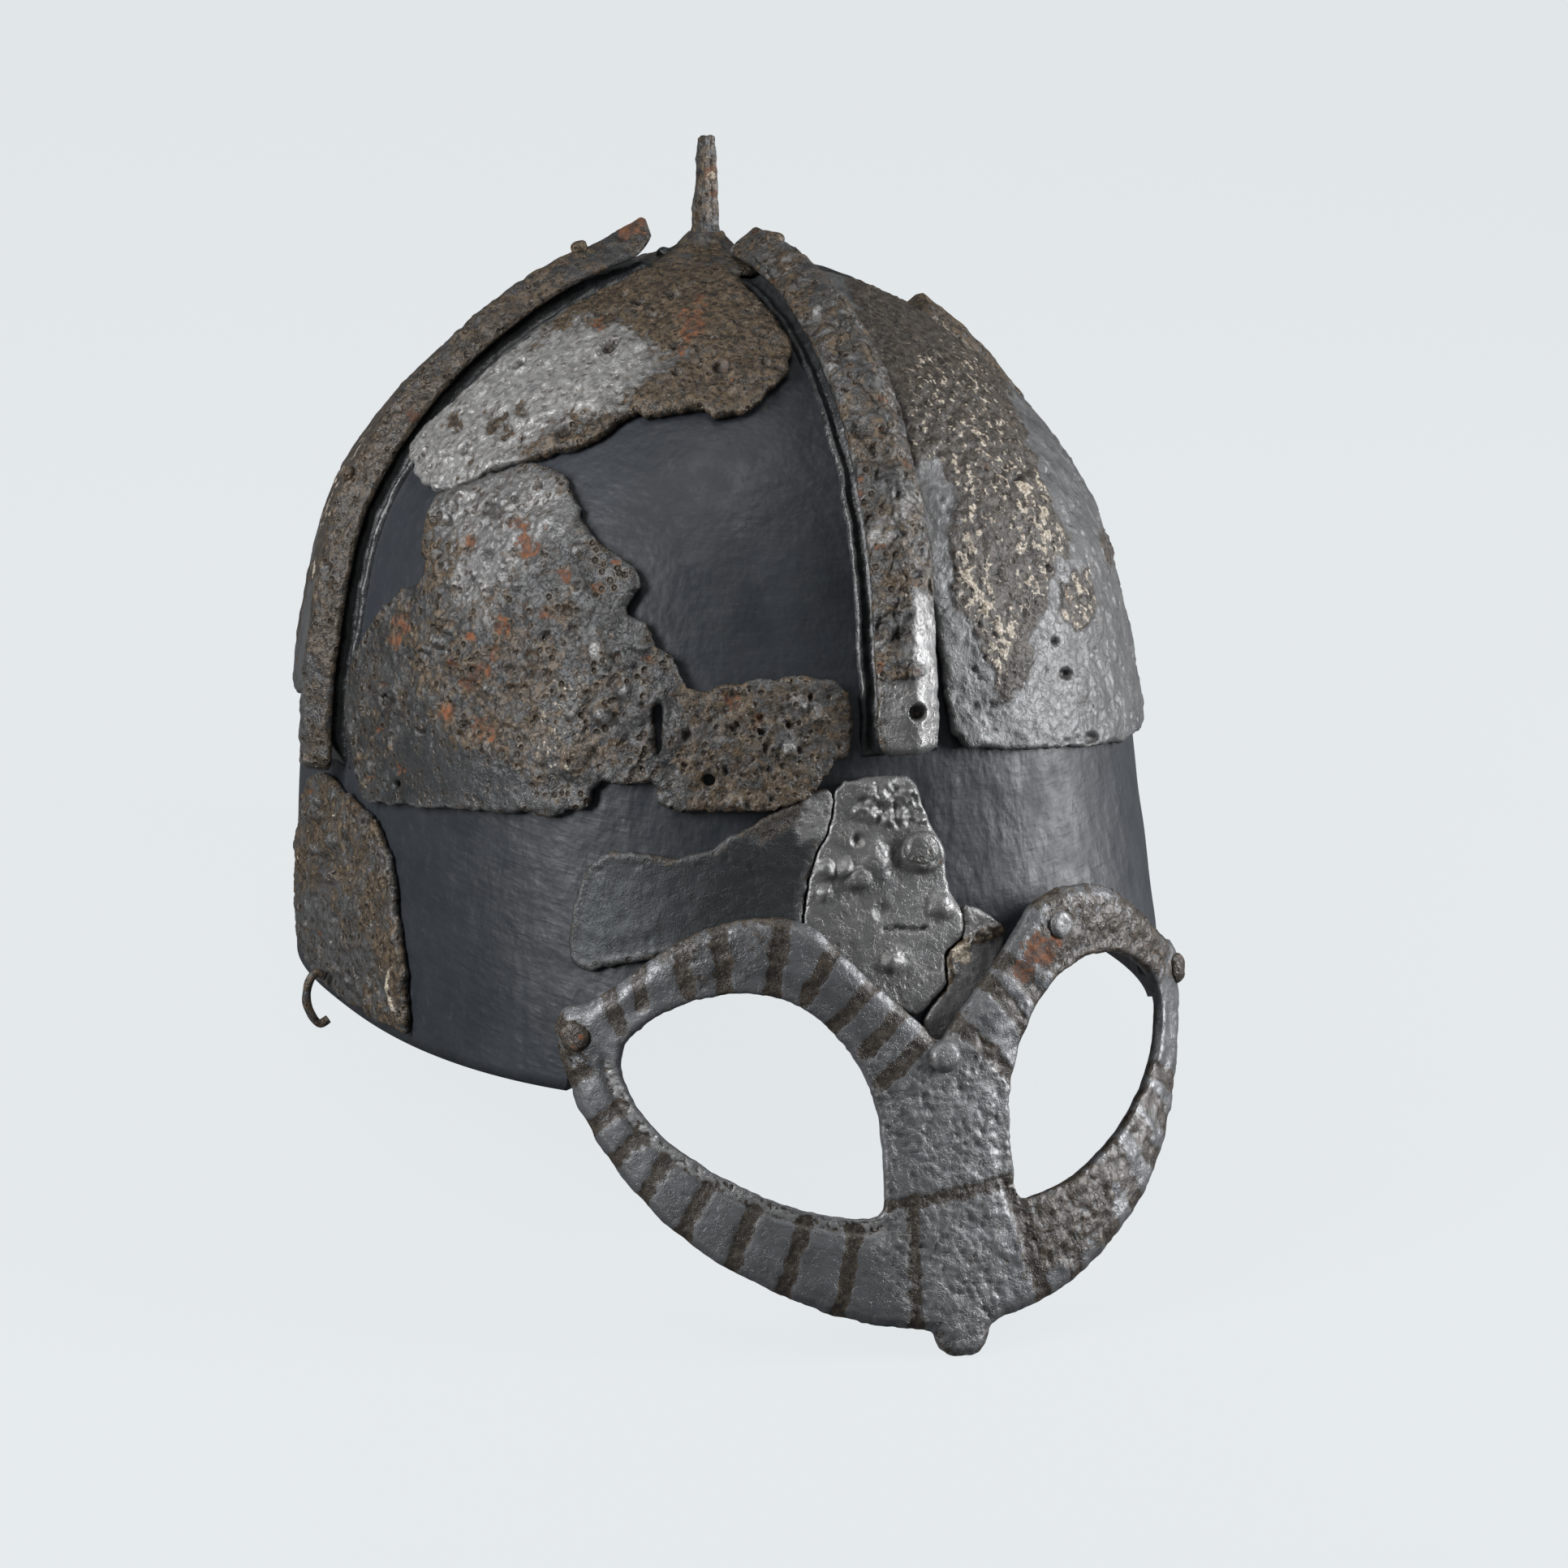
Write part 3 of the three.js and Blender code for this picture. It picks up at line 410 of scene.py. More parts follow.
def add_piece(name, points, faces, masks, material, replaced=()):
    """A mesh piece from upright millimetres, with its masks as point attributes."""
    points = np.asarray(points, float)
    mesh = bpy.data.meshes.new(name)
    mesh.from_pydata(to_model(points).tolist(), [], [tuple(int(i) for i in face) for face in faces])
    mesh.validate()
    mesh.update()
    for key in MASK_NAMES:
        values = masks.get(key, np.zeros(len(points)))
        layer = mesh.attributes.new(key, "FLOAT", "POINT")
        layer.data.foreach_set("value", np.clip(values, 0, 1).astype(np.float32))
    mesh.polygons.foreach_set("use_smooth", np.ones(len(mesh.polygons), bool))
    mesh.materials.append(material)
    piece = bpy.data.objects.new(name, mesh)
    bpy.context.scene.collection.objects.link(piece)
    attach(piece, "root")
    if replaced:
        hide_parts(*replaced)
    pieces[name] = piece
    return piece


def inside_polygon(points, polygon):
    inside = np.zeros(len(points), bool)
    x, y = points[:, 0], points[:, 1]
    for (ax, ay), (bx, by) in zip(polygon, np.roll(polygon, -1, axis=0)):
        if ay != by:
            crossing = (ay > y) != (by > y)
            inside ^= crossing & (x < (bx - ax) * (y - ay) / (by - ay) + ax)
    return inside


def line_distance(points, line, closed=False):
    line = np.asarray(line, float)
    ends = np.roll(line, -1, axis=0) if closed else line[1:]
    starts = line if closed else line[:-1]
    best = np.full(len(points), 1e9)
    for start, end in zip(starts, ends):
        along = end - start
        part = np.clip((points - start) @ along / max(along @ along, 1e-12), 0, 1)
        best = np.minimum(best, np.linalg.norm(points - start - part[:, None] * along, axis=1))
    return best


def subdivide(loop, spacing):
    """A closed loop with points about every spacing."""
    made = []
    for start, end in zip(loop, np.roll(loop, -1, axis=0)):
        count = max(1, int(round(np.linalg.norm(end - start) / spacing)))
        made.extend(start + (end - start) * step / count for step in range(count))
    return np.array(made)


def round_loop(loop, passes):
    """Corners cut towards a smooth curve."""
    for _ in range(passes):
        after = np.roll(loop, -1, axis=0)
        loop = np.stack([loop * 0.8 + after * 0.2, loop * 0.2 + after * 0.8], 1).reshape(-1, 2)
    return loop


def fill(loops, spacing, seed):
    """Points and triangles of the flat region inside loops[0] and outside the others."""
    low, high = loops[0].min(0), loops[0].max(0)
    rows = np.arange(low[1], high[1], spacing * 0.866)
    columns = np.arange(low[0], high[0], spacing)
    grid_x, grid_y = np.meshgrid(columns, rows)
    grid_x = grid_x + (np.arange(len(rows)) % 2)[:, None] * spacing / 2
    grid = np.stack([grid_x.ravel(), grid_y.ravel()], 1)
    draw = np.random.default_rng(seed)
    grid = grid + draw.uniform(-GRID_STRAY, GRID_STRAY, grid.shape) * spacing
    keep = inside_polygon(grid, loops[0])
    for hole in loops[1:]:
        keep &= ~inside_polygon(grid, hole)
    grid = grid[keep]
    rim = np.concatenate(loops)
    near = nearest(grid, rim)
    grid = grid[near > spacing * 0.55]
    points = np.concatenate([rim, grid])
    edges = []
    first = 0
    for loop in loops:
        count = len(loop)
        edges.extend((first + i, first + (i + 1) % count) for i in range(count))
        first += count
    made = delaunay_2d_cdt([Vector(p) for p in points], edges, [], 0, 1e-7, True)
    coords = np.array([tuple(v) for v in made[0]])
    triangles = np.array([face for face in made[2] if len(face) == 3])
    middle = coords[triangles].mean(1)
    keep = inside_polygon(middle, loops[0])
    for hole in loops[1:]:
        keep &= ~inside_polygon(middle, hole)
    order = np.array([own[0] if own else 0 for own in made[3]])
    return points, order[triangles[keep]]


def nearest(points, others):
    best = np.zeros(len(points))
    for start in range(0, len(points), 1000):
        part = points[start:start + 1000]
        best[start:start + 1000] = np.sqrt(
            ((part[:, None, :] - others[None, :, :]) ** 2).sum(2).min(1))
    return best


def turned_to(points, triangles, outward):
    """Triangles turned so that they face along the outward vectors of their points."""
    a, b, c = (points[triangles[:, i]] for i in range(3))
    facing = np.sum(np.cross(b - a, c - a) * outward[triangles].mean(1), axis=1)
    return np.where((facing < 0)[:, None], triangles[:, ::-1], triangles)


def slab(loops, spacing, place, seed):
    """Points, triangles and masks of a curved slab over flat loops. place gives, for flat points, the
    surface points, their normals, the heights of both faces, and the masks."""
    flat, top = fill(loops, spacing, seed)
    rim_count = sum(len(loop) for loop in loops)
    surface, normal, low, high, masks = place(flat)
    under_flat, under = fill(loops, UNDERSIDE_SPACING, seed + 1)
    under_surface, under_normal, under_low, _, _ = place(under_flat)
    upper = surface + normal * high[:, None]
    bottom = under_surface + under_normal * under_low[:, None]
    rim = np.arange(rim_count)
    outward = np.zeros((rim_count, 3))
    first = 0
    for loop in loops:
        count = len(loop)
        own = np.arange(first, first + count)
        along = np.roll(surface[own], -1, axis=0) - np.roll(surface[own], 1, axis=0)
        side = np.cross(unit(along), normal[own])
        ahead = place_side(place, loop, surface[own], side)
        outward[own] = side * (1 if ahead else -1) * (1 if first == 0 else -1)
        first += count
    bulge = 0.16 + 0.14 * noise(surface[rim], 1.3, seed + 5)
    middle_height = low[rim] + (high[rim] - low[rim]) * 0.5
    middle = surface[rim] + normal[rim] * middle_height[:, None] + outward * bulge[:, None]
    bottom[:rim_count] -= outward * 0.25
    points = np.concatenate([upper, middle, bottom])
    top_faces = turned_to(upper, top, normal)
    under_faces = turned_to(bottom, under, -under_normal)
    sides = []
    first = 0
    for loop in loops:
        count = len(loop)
        here = first + np.arange(count)
        there = first + (np.arange(count) + 1) % count
        for upper_start, lower_start in ((0, len(upper)), (len(upper), len(upper) + rim_count)):
            a, b = here + upper_start, there + upper_start
            c, d = there + lower_start, here + lower_start
            sides.append(np.stack([a, b, c], 1))
            sides.append(np.stack([a, c, d], 1))
        first += count
    sides = np.concatenate(sides)
    spread = np.zeros((len(points), 3))
    spread[:rim_count] = outward
    spread[len(upper):len(upper) + rim_count] = outward
    spread[len(upper) + rim_count:len(upper) + 2 * rim_count] = outward
    sides = turned_to(points, sides, spread)
    faces = np.concatenate([top_faces, sides, under_faces + len(upper) + rim_count])
    all_masks = {}
    for key, values in masks.items():
        values = values * np.ones(len(flat))
        all_masks[key] = np.concatenate([values, values[:rim_count], np.zeros(len(bottom))])
    return points, faces, all_masks


def place_side(place, loop, surface, side):
    """Whether side points away from the middle of the loop."""
    middle = surface.mean(0)
    return np.median(np.sum((surface - middle) * side, axis=1)) > 0


# Bands' paths

def band_place(name, share, across=0.0):
    """Points and normals on a band's line, shifted sideways along the surface."""
    degrees, low, high, lean = BANDS[name]
    bearing = math.radians(degrees)
    ahead = np.array([math.sin(bearing), -math.cos(bearing), 0.0])
    side = np.array([math.cos(bearing), math.sin(bearing), 0.0])
    share = np.asarray(share, float)
    fall = np.sqrt(1 - np.clip(share, 0, HIGHEST))
    full = FULLNESS_CURVE(fall)
    lateral = lean * (share - low) / (high - low) + across
    if abs(ahead[1]) > 0.5:
        reach = FRONT_CURVE(fall) if ahead[1] < 0 else BACK_CURVE(fall)
        cross = WIDTH_CURVE(fall)
    else:
        reach, cross = WIDTH_CURVE(fall), FRONT_CURVE(fall)
    rest = 1 - np.minimum(np.abs(lateral) / cross, 0.999) ** full
    flat = ahead * (reach * rest ** (1 / full))[:, None] + side * lateral[:, None]
    flat[:, 2] = share * SHELL_HEIGHT
    return flat, dome_normal(np.arctan2(flat[:, 0], -flat[:, 1]), share)


def even_shares(name, low, high, spacing):
    """Shares of height at even steps along a band's line."""
    fall = np.linspace(math.sqrt(1 - low), math.sqrt(1 - high), LINE_SAMPLES)
    share = 1 - fall * fall
    points, _ = band_place(name, share)
    run = np.concatenate([[0], np.cumsum(np.linalg.norm(np.diff(points, axis=0), axis=1))])
    count = int(run[-1] / spacing) + 1
    return np.interp(np.linspace(0, run[-1], count), run, share), run[-1]


def tube(rings):
    """Points and faces of a stack of equal rings, given as an array (rings, sides, 3), with its ends filled."""
    steps, sides = rings.shape[:2]
    index = np.arange(steps * sides).reshape(steps, sides)
    after = np.roll(index, -1, axis=1)
    quads = np.stack([index[:-1], after[:-1], after[1:], index[1:]], -1).reshape(-1, 4)
    faces = [tuple(q) for q in quads]
    ends = np.stack([rings[0].mean(0), rings[-1].mean(0)])
    points = np.concatenate([rings.reshape(-1, 3), ends])
    low, high = len(points) - 2, len(points) - 1
    faces += [(low, index[0, (i + 1) % sides], index[0, i]) for i in range(sides)]
    faces += [(high, index[-1, i], index[-1, (i + 1) % sides]) for i in range(sides)]
    return points, faces


def outward_faces(points, faces):
    total = 0.0
    for face in faces:
        a = points[face[0]]
        for i in range(1, len(face) - 1):
            total += np.dot(a, np.cross(points[face[i]], points[face[i + 1]]))
    return faces if total > 0 else [tuple(reversed(face)) for face in faces]


# Materials

def add_node(tree, kind, settings=None, **inputs):
    made = tree.nodes.new(kind)
    for key, value in (settings or {}).items():
        setattr(made, key, value)
    for key, value in inputs.items():
        socket = made.inputs[int(key[1:])] if key[1:].isdigit() else made.inputs[key.replace("_", " ")]
        if isinstance(value, bpy.types.NodeSocket):
            tree.links.new(value, socket)
        else:
            socket.default_value = value
    return made


class Shader:
    """A material's nodes, with short names for the kinds that are used here."""

    def __init__(self, name):
        self.material = bpy.data.materials.new(name)
        self.material.use_nodes = True
        self.tree = self.material.node_tree
        self.tree.nodes.clear()
        self.coords = add_node(self.tree, "ShaderNodeTexCoord").outputs["Object"]

    def mask(self, name):
        return add_node(self.tree, "ShaderNodeAttribute", {"attribute_name": name}).outputs["Fac"]

    def noise(self, size_mm, detail=3.0, rough=0.55, stretch=None):
        coords = self.coords
        if stretch:
            coords = add_node(self.tree, "ShaderNodeMapping", None, Vector=coords, Scale=stretch).outputs[0]
        made = add_node(self.tree, "ShaderNodeTexNoise", None, Vector=coords, Scale=1000.0 / size_mm,
                        Detail=detail, Roughness=rough)
        return made.outputs[0]

    def pits(self, size_mm, near, far):
        """One inside small round hollows that lie in cells of this size, and nought between them."""
        made = add_node(self.tree, "ShaderNodeTexVoronoi", {"feature": "F1"},
                        Vector=self.coords, Scale=1000.0 / size_mm)
        return self.ramp(made.outputs["Distance"], near, far, 1.0, 0.0)

    def math(self, kind, a, b=0.0):
        made = add_node(self.tree, "ShaderNodeMath", {"operation": kind}, i0=a, i1=b)
        return made.outputs[0]

    def times(self, a, b):
        return self.math("MULTIPLY", a, b)

    def plus(self, a, b):
        return self.math("ADD", a, b)

    def most(self, a, b):
        return self.math("MAXIMUM", a, b)

    def rest(self, value):
        """What is left of one."""
        return self.math("SUBTRACT", 1.0, value)

    def ramp(self, value, low, high, to_low=0.0, to_high=1.0):
        made = add_node(self.tree, "ShaderNodeMapRange", {"interpolation_type": "SMOOTHSTEP"},
                        Value=value, From_Min=low, From_Max=high, To_Min=to_low, To_Max=to_high)
        return made.outputs[0]

    def mix(self, part, a, b):
        made = add_node(self.tree, "ShaderNodeMix", {"data_type": "RGBA"}, i0=part, i6=a, i7=b)
        return made.outputs[2]

    def ragged(self, name, size_mm, amount):
        """A mask with its edge broken up by noise."""
        shift = self.times(self.math("SUBTRACT", self.noise(size_mm, 4.0), 0.5), amount)
        return self.ramp(self.plus(self.mask(name), shift), 0.33, 0.67)

    def bump(self, height, distance_mm, strength=1.0, below=None):
        inputs = {"Height": height, "Distance": distance_mm / 1000, "Strength": strength}
        if below:
            inputs["Normal"] = below
        return add_node(self.tree, "ShaderNodeBump", None, **inputs).outputs[0]

    def finish(self, color, roughness, metallic, normal, **own):
        body = add_node(self.tree, "ShaderNodeBsdfPrincipled", None, Base_Color=color, Roughness=roughness,
                        Metallic=metallic, Normal=normal, **own)
        add_node(self.tree, "ShaderNodeOutputMaterial", None, Surface=body.outputs[0])
        return self.material


# Colours that all irons share
DARK_SPECK = (0.035, 0.029, 0.023, 1)
IRON_VEIN = (0.03, 0.026, 0.022, 1)
BARE_METAL_AND_HIGHLIGHT = (0.4, 0.395, 0.385, 1)
SMOOTH_METAL = (0.135, 0.137, 0.141, 1)
SLATE_METAL = (0.022, 0.026, 0.028, 1)
BROWN_GRAIN = (0.2, 0.17, 0.14, 1)
BROWN_VEIN = (0.012, 0.01, 0.008, 1)
RUST_DARK = (0.03, 0.013, 0.006, 1)
RUST_LIGHT = (0.2, 0.065, 0.018, 1)
CRUST_DARK = (0.2, 0.155, 0.105, 1)
CRUST_LIGHT = (0.6, 0.54, 0.44, 1)
# The next two are painted shade for the bottoms of pits and for hollows
PIT_SHADE = (0.012, 0.009, 0.007, 1)
HOLLOW_SHADE = (0.012, 0.011, 0.01, 1)
PIT_SIZE = 2.3
BAND_OF_PITS = (0.16, 0.36)
BAND_OF_COLLARS = (0.34, 0.56)


def iron_material(name, iron_dark, iron_light, brown_dark, brown_light, gloss, depth, pitting):
    """Corroded iron: bare iron under brown, rust and crust, with veins, pits and fine bumps. Bare metal and
    painted highlights lighten it where the mask of bare metal and highlights is high, and painted shade darkens
    its pits and hollows.
    """
    s = Shader(name)
    wide = s.noise(8.0, 5.0, 0.6)
    small = s.noise(1.7, 6.0, 0.62)
    grain = s.noise(0.5, 3.0, 0.6)
    vein = s.math("ABSOLUTE", s.math("SUBTRACT", s.noise(2.6, 5.0, 0.6), 0.5))
    vein = s.ramp(vein, 0.0, 0.045, 1.0, 0.0)
    smooth, slate = s.mask("smooth"), s.mask("slate")

    iron = s.mix(s.ramp(wide, 0.3, 0.7), iron_dark, iron_light)
    rough_part = s.rest(s.times(smooth, 0.85))
    iron = s.mix(s.times(s.ramp(small, 0.5, 0.7, 0.0, 0.75), rough_part), iron, DARK_SPECK)
    iron = s.mix(s.times(vein, 0.35), iron, IRON_VEIN)
    # Bare metal and painted highlights (glints on lumps, lips and edges) share one mask and one light colour
    shine = s.rest(s.times(s.ramp(small, 0.4, 0.62), rough_part))
    iron = s.mix(s.times(s.mask("bare_metal_and_highlight"), shine), iron, BARE_METAL_AND_HIGHLIGHT)
    iron = s.mix(s.times(smooth, 0.4), iron, SMOOTH_METAL)
    iron = s.mix(s.times(slate, 0.92), iron, SLATE_METAL)

    brown = s.mix(s.ramp(small, 0.36, 0.66), brown_dark, brown_light)
    brown = s.mix(s.times(s.ramp(grain, 0.52, 0.7), 0.35), brown, BROWN_GRAIN)
    brown = s.mix(s.times(vein, 0.6), brown, BROWN_VEIN)
    brown_part = s.ragged("brown", 1.9, 1.3)
    color = s.mix(brown_part, iron, brown)
    rust = s.mix(s.ramp(small, 0.38, 0.68), RUST_DARK, RUST_LIGHT)
    rust_part = s.times(s.ragged("rust", 1.6, 1.9), 0.93)
    color = s.mix(rust_part, color, rust)
    crust = s.mix(s.ramp(grain, 0.35, 0.65), CRUST_DARK, CRUST_LIGHT)
    crust_part = s.times(s.ragged("crust", 0.7, 1.8), 0.9)
    color = s.mix(crust_part, color, crust)

    calm = s.rest(s.times(s.most(smooth, slate), 0.7))
    still = s.rest(s.math("MINIMUM", s.plus(smooth, slate), 1.0))
    spread = s.times(s.ramp(s.noise(7.0, 3.0), 0.4, 0.56, 0.0, pitting), still)
    pitted = s.times(s.pits(PIT_SIZE, *BAND_OF_PITS), spread)
    collar = s.times(s.pits(PIT_SIZE, *BAND_OF_COLLARS), spread)
    color = s.mix(s.times(collar, 0.45), color, brown_light)
    # Painted shade: the pits' bottoms are darkened to near black
    color = s.mix(s.times(pitted, 0.8), color, PIT_SHADE)
    # Painted shade: hollows, grooves and holes are darkened through the hollow mask
    hollow = s.mask("hollow")
    color = s.mix(s.times(hollow, 0.8), color, HOLLOW_SHADE)

    dull = s.most(s.most(brown_part, rust_part), crust_part)
    metallic = s.times(s.rest(s.most(dull, hollow)), 0.45)
    roughness = s.plus(s.ramp(small, 0.25, 0.8, gloss, gloss + 0.2), s.times(rust_part, 0.35))
    normal = s.bump(s.times(s.noise(2.6, 6.0, 0.62), calm), depth, 0.9)
    normal = s.bump(s.times(small, calm), 0.32, 0.7, normal)
    normal = s.bump(pitted, -0.5, 0.9, normal)
    normal = s.bump(s.times(vein, calm), -0.12, 0.7, normal)
    normal = s.bump(grain, 0.1, 0.5, normal)
    return s.finish(color, roughness, metallic, normal)


PAINT_DARK = (0.015, 0.018, 0.022, 1)
PAINT_LIGHT = (0.024, 0.028, 0.034, 1)
PAINT_DUST = (0.08, 0.08, 0.09, 1)
PAINT_WORN = (0.14, 0.14, 0.16, 1)
CHANNEL_DARK = (0.009, 0.010, 0.011, 1)
CHANNEL_LIGHT = (0.022, 0.024, 0.026, 1)
# A painted highlight for the lips' crests
CHANNEL_LIP_HIGHLIGHT = (0.035, 0.034, 0.033, 1)
CHANNEL_STAIN = (0.2, 0.15, 0.07, 1)


def paint_material(name):
    """Dark brushed paint: long strokes down the shell and short ones across it."""
    s = Shader(name)
    color = s.mix(s.ramp(s.noise(30.0, 4.0), 0.3, 0.7), PAINT_DARK, PAINT_LIGHT)
    color = s.mix(s.times(s.ramp(s.noise(2.2, 4.0), 0.55, 0.85), 0.25), color, PAINT_DUST)
    color = s.mix(s.mask("bare_metal_and_highlight"), color, PAINT_WORN)
    roughness = s.ramp(s.noise(6.0, 4.0), 0.25, 0.75, 0.42, 0.58)
    strokes = s.noise(2.6, 3.0, 0.5, (1.0, 1.0, 0.2))
    cross = s.noise(2.2, 3.0, 0.5, (0.25, 0.25, 1.6))
    normal = s.bump(strokes, 0.36, 0.5)
    normal = s.bump(cross, 0.3, 0.45, normal)
    normal = s.bump(s.noise(9.0, 3.0), 1.6, 0.45, normal)
    normal = s.bump(s.noise(0.5, 2.0), 0.05, 0.5, normal)
    return s.finish(color, roughness, 0.0, normal, Specular_IOR_Level=0.34)


def channel_material(name):
    """The same dark paint where it lies thick and glossy in the channels beside the bands."""
    s = Shader(name)
    small = s.noise(2.4, 4.0)
    color = s.mix(s.ramp(small, 0.35, 0.7), CHANNEL_DARK, CHANNEL_LIGHT)
    # Painted highlight on the lips' crests
    color = s.mix(s.times(s.mask("bare_metal_and_highlight"), s.ramp(small, 0.4, 0.65)), color, CHANNEL_LIP_HIGHLIGHT)
    color = s.mix(s.times(s.mask("crust"), s.ramp(small, 0.45, 0.65)), color, CHANNEL_STAIN)
    normal = s.bump(s.noise(2.8, 4.0, 0.6), 0.9, 0.6)
    return s.finish(color, 0.34, 0.0, normal)


PITTED = iron_material("pitted_iron", (0.026, 0.027, 0.028, 1), (0.082, 0.084, 0.085, 1),
                       (0.012, 0.009, 0.006, 1), (0.115, 0.08, 0.046, 1), 0.22, 0.9, 1.0)
RUSTY = iron_material("rusty_iron", (0.062, 0.063, 0.064, 1), (0.118, 0.12, 0.121, 1),
                      (0.014, 0.011, 0.008, 1), (0.06, 0.046, 0.033, 1), 0.38, 0.8, 0.6)
GUARD = iron_material("guard_iron", (0.072, 0.076, 0.081, 1), (0.135, 0.14, 0.148, 1),
                      (0.018, 0.0135, 0.0095, 1), (0.062, 0.047, 0.033, 1), 0.3, 0.45, 0.4)
PAINT = paint_material("painted_shell")
GLOSS = channel_material("painted_channel")
GLOSS = channel_material("painted_channel")


# Relief and colour of the fragments

def spots(photo, places, soft=0.35):
    """1 inside round photograph spots (u, v, radius), falling to 0 across their edges."""
    total = np.zeros(len(photo))
    for u, v, radius in places:
        far = np.hypot(photo[:, 0] - u, photo[:, 1] - v) / radius
        total = np.maximum(total, 1 - step_up(far, 1 - soft, 1 + soft))
    return total


def area(photo, polygon, soft):
    """1 inside a photograph outline, falling to 0 across soft pixels at its edge."""
    polygon = np.asarray(polygon, float)
    distance = line_distance(photo, polygon, True)
    signed = np.where(inside_polygon(photo, polygon), distance, -distance)
    return step_up(signed, -soft, soft)


def warp(photo, points, amount, size, seed):
    """Photograph places moved about by noise, so that outlines drawn among them wander."""
    return photo + amount * np.stack([noise(points, size, seed), noise(points, size, seed + 1)], 1)


def scattered(points, size, seed):
    """Distance to the nearest scattered site, in sizes, and the site's number, in cells bent by noise."""
    bend = np.stack([noise(points, size * 0.6, seed + k) for k in (3, 4, 5)], 1)
    first, _, own = cells(points + 0.18 * size * bend, size, seed)
    return first, own


def pits(points, size, share, seed):
    """Round hollows scattered over a share of cells: 1 at the middle, 0 outside."""
    first, own = scattered(points, size, seed)
    radius = 0.2 + 0.3 * ((own * 17.3) % 1.0)
    return np.where(own < share, 1 - step_up(first / radius, 0.45, 1.0), 0.0)


def craters(points, size, share, seed):
    """Round hollows as pits gives them, and the raised lips round them."""
    first, own = scattered(points, size, seed)
    part = first / (0.17 + 0.27 * ((own * 17.3) % 1.0))
    chosen = own < share
    hollow = np.where(chosen, 1 - step_up(part, 0.7, 1.0), 0.0)
    lip = np.where(chosen, step_up(part, 0.85, 1.05) * (1 - step_up(part, 1.1, 1.5)), 0.0)
    return hollow, lip


def round_lumps(points, size, share, radius, seed):
    """Round lumps scattered over a share of cells: 1 on top, 0 outside."""
    first, _, own = cells(points, size, seed)
    return np.where(own < share, np.sqrt(np.clip(1 - (first / radius) ** 2, 0, 1)), 0)


def flaked(points, size, seed, steps, sharp, layers=4):
    """Noise of about 0 to 1 in flat steps, like flakes of corroded iron."""
    return terraces(layered(points, size, layers, seed) * 0.5 + 0.5, steps, sharp)


def base_relief(points, rough):
    """Lumps and flakes that all corroded pieces share."""
    return rough * (0.28 * layered(points, 7.0, 4, 11) + 1.1 * (flaked(points, 9.0, 31, 5, 0.08) - 0.5))


# Each relief function below gives the raised height in mm and the masks. Its outlines are photograph
# pixels, and its spots are a place and a radius in them.
UPPER_SILVER = [(490, 620), (490, 520), (600, 440), (690, 400), (770, 405), (830, 440), (760, 500), (700, 520),
                (640, 560), (560, 610)]
UPPER_KNOBS = [(915, 465, 15), (855, 297, 9)]
UPPER_RUST = [(850, 402, 20), (740, 403, 11), (865, 372, 10), (838, 432, 8), (770, 520, 10), (905, 470, 5),
              (628, 535, 6)]
UPPER_HOLLOWS = [(612, 522, 16), (580, 560, 8), (560, 520, 10), (645, 505, 9), (570, 455, 7)]


def relief_upper(points, photo, edge):
    warped = warp(photo, points, 9, 4, 71)
    silver = area(warped, UPPER_SILVER, 30)
    lumps = round_lumps(points, 6.5, 0.6, 0.55, 41)
    hollows, lips = craters(points, 5.5, 0.5, 43)
    small, small_lips = craters(points, 2.6, 0.5, 47)
    brown_hollow = spots(warped, UPPER_HOLLOWS, 0.4)
    high = base_relief(points, 1.0) * (1 - 0.5 * silver) + 0.75 * lumps * (1 - 0.4 * silver)
    high = high - 1.3 * hollows - 0.5 * small + 0.35 * lips + 0.2 * small_lips
    high = high + 0.3 * layered(points, 1.6, 2, 49) + 1.2 * spots(warped, UPPER_KNOBS, 0.5) - 0.8 * brown_hollow
    brown = np.clip(0.72 * (1 - silver) + 0.34 * layered(points, 4, 4, 77) + brown_hollow * 0.6
                    + hollows * 0.35 + 0.12, 0, 1)
    # The silver area is bare metal whose light colour is raised to stand in for the highlight it catches, and
    # the lips round craters get painted glints
    bare_metal_and_highlight = (0.02 + silver * (1.05 + 0.25 * layered(points, 5, 3, 79))) * (1 - hollows) + 0.2 * lips
    sunken = np.clip(0.95 * step_up(hollows, 0.35, 0.85) + 0.7 * small + 0.5 * brown_hollow, 0, 1)
    return high, {"rust": spots(warped, UPPER_RUST, 0.5) * 0.6 + 0.3 * hollows * (1 - silver), "brown": brown,
                  "bare_metal_and_highlight": bare_metal_and_highlight, "smooth": 0.5 * silver, "hollow": sunken * 0.85}


LOWER_TOP = [(530, 640), (560, 590), (640, 575), (690, 590), (700, 640), (640, 700), (600, 760), (560, 740),
             (560, 690)]
LOWER_CALM = [(470, 990), (480, 930), (520, 890), (580, 930), (640, 960), (640, 1010)]
LOWER_SCAB = [(640, 910), (680, 840), (720, 830), (730, 870), (715, 920), (720, 960), (660, 955)]
LOWER_LUMPY = [(700, 800), (760, 770), (830, 840), (815, 940), (740, 960), (700, 900)]
LOWER_GOLDEN = [(500, 745), (590, 735), (640, 790), (720, 800), (780, 870), (770, 960), (640, 965), (560, 920),
                (500, 830)]
LOWER_FLAKES = [(515, 640), (560, 620), (575, 680), (555, 720), (520, 740)]
LOWER_RING = (638, 865)
LOWER_CRACK = [(813, 868), (810, 890), (814, 912), (816, 930)]
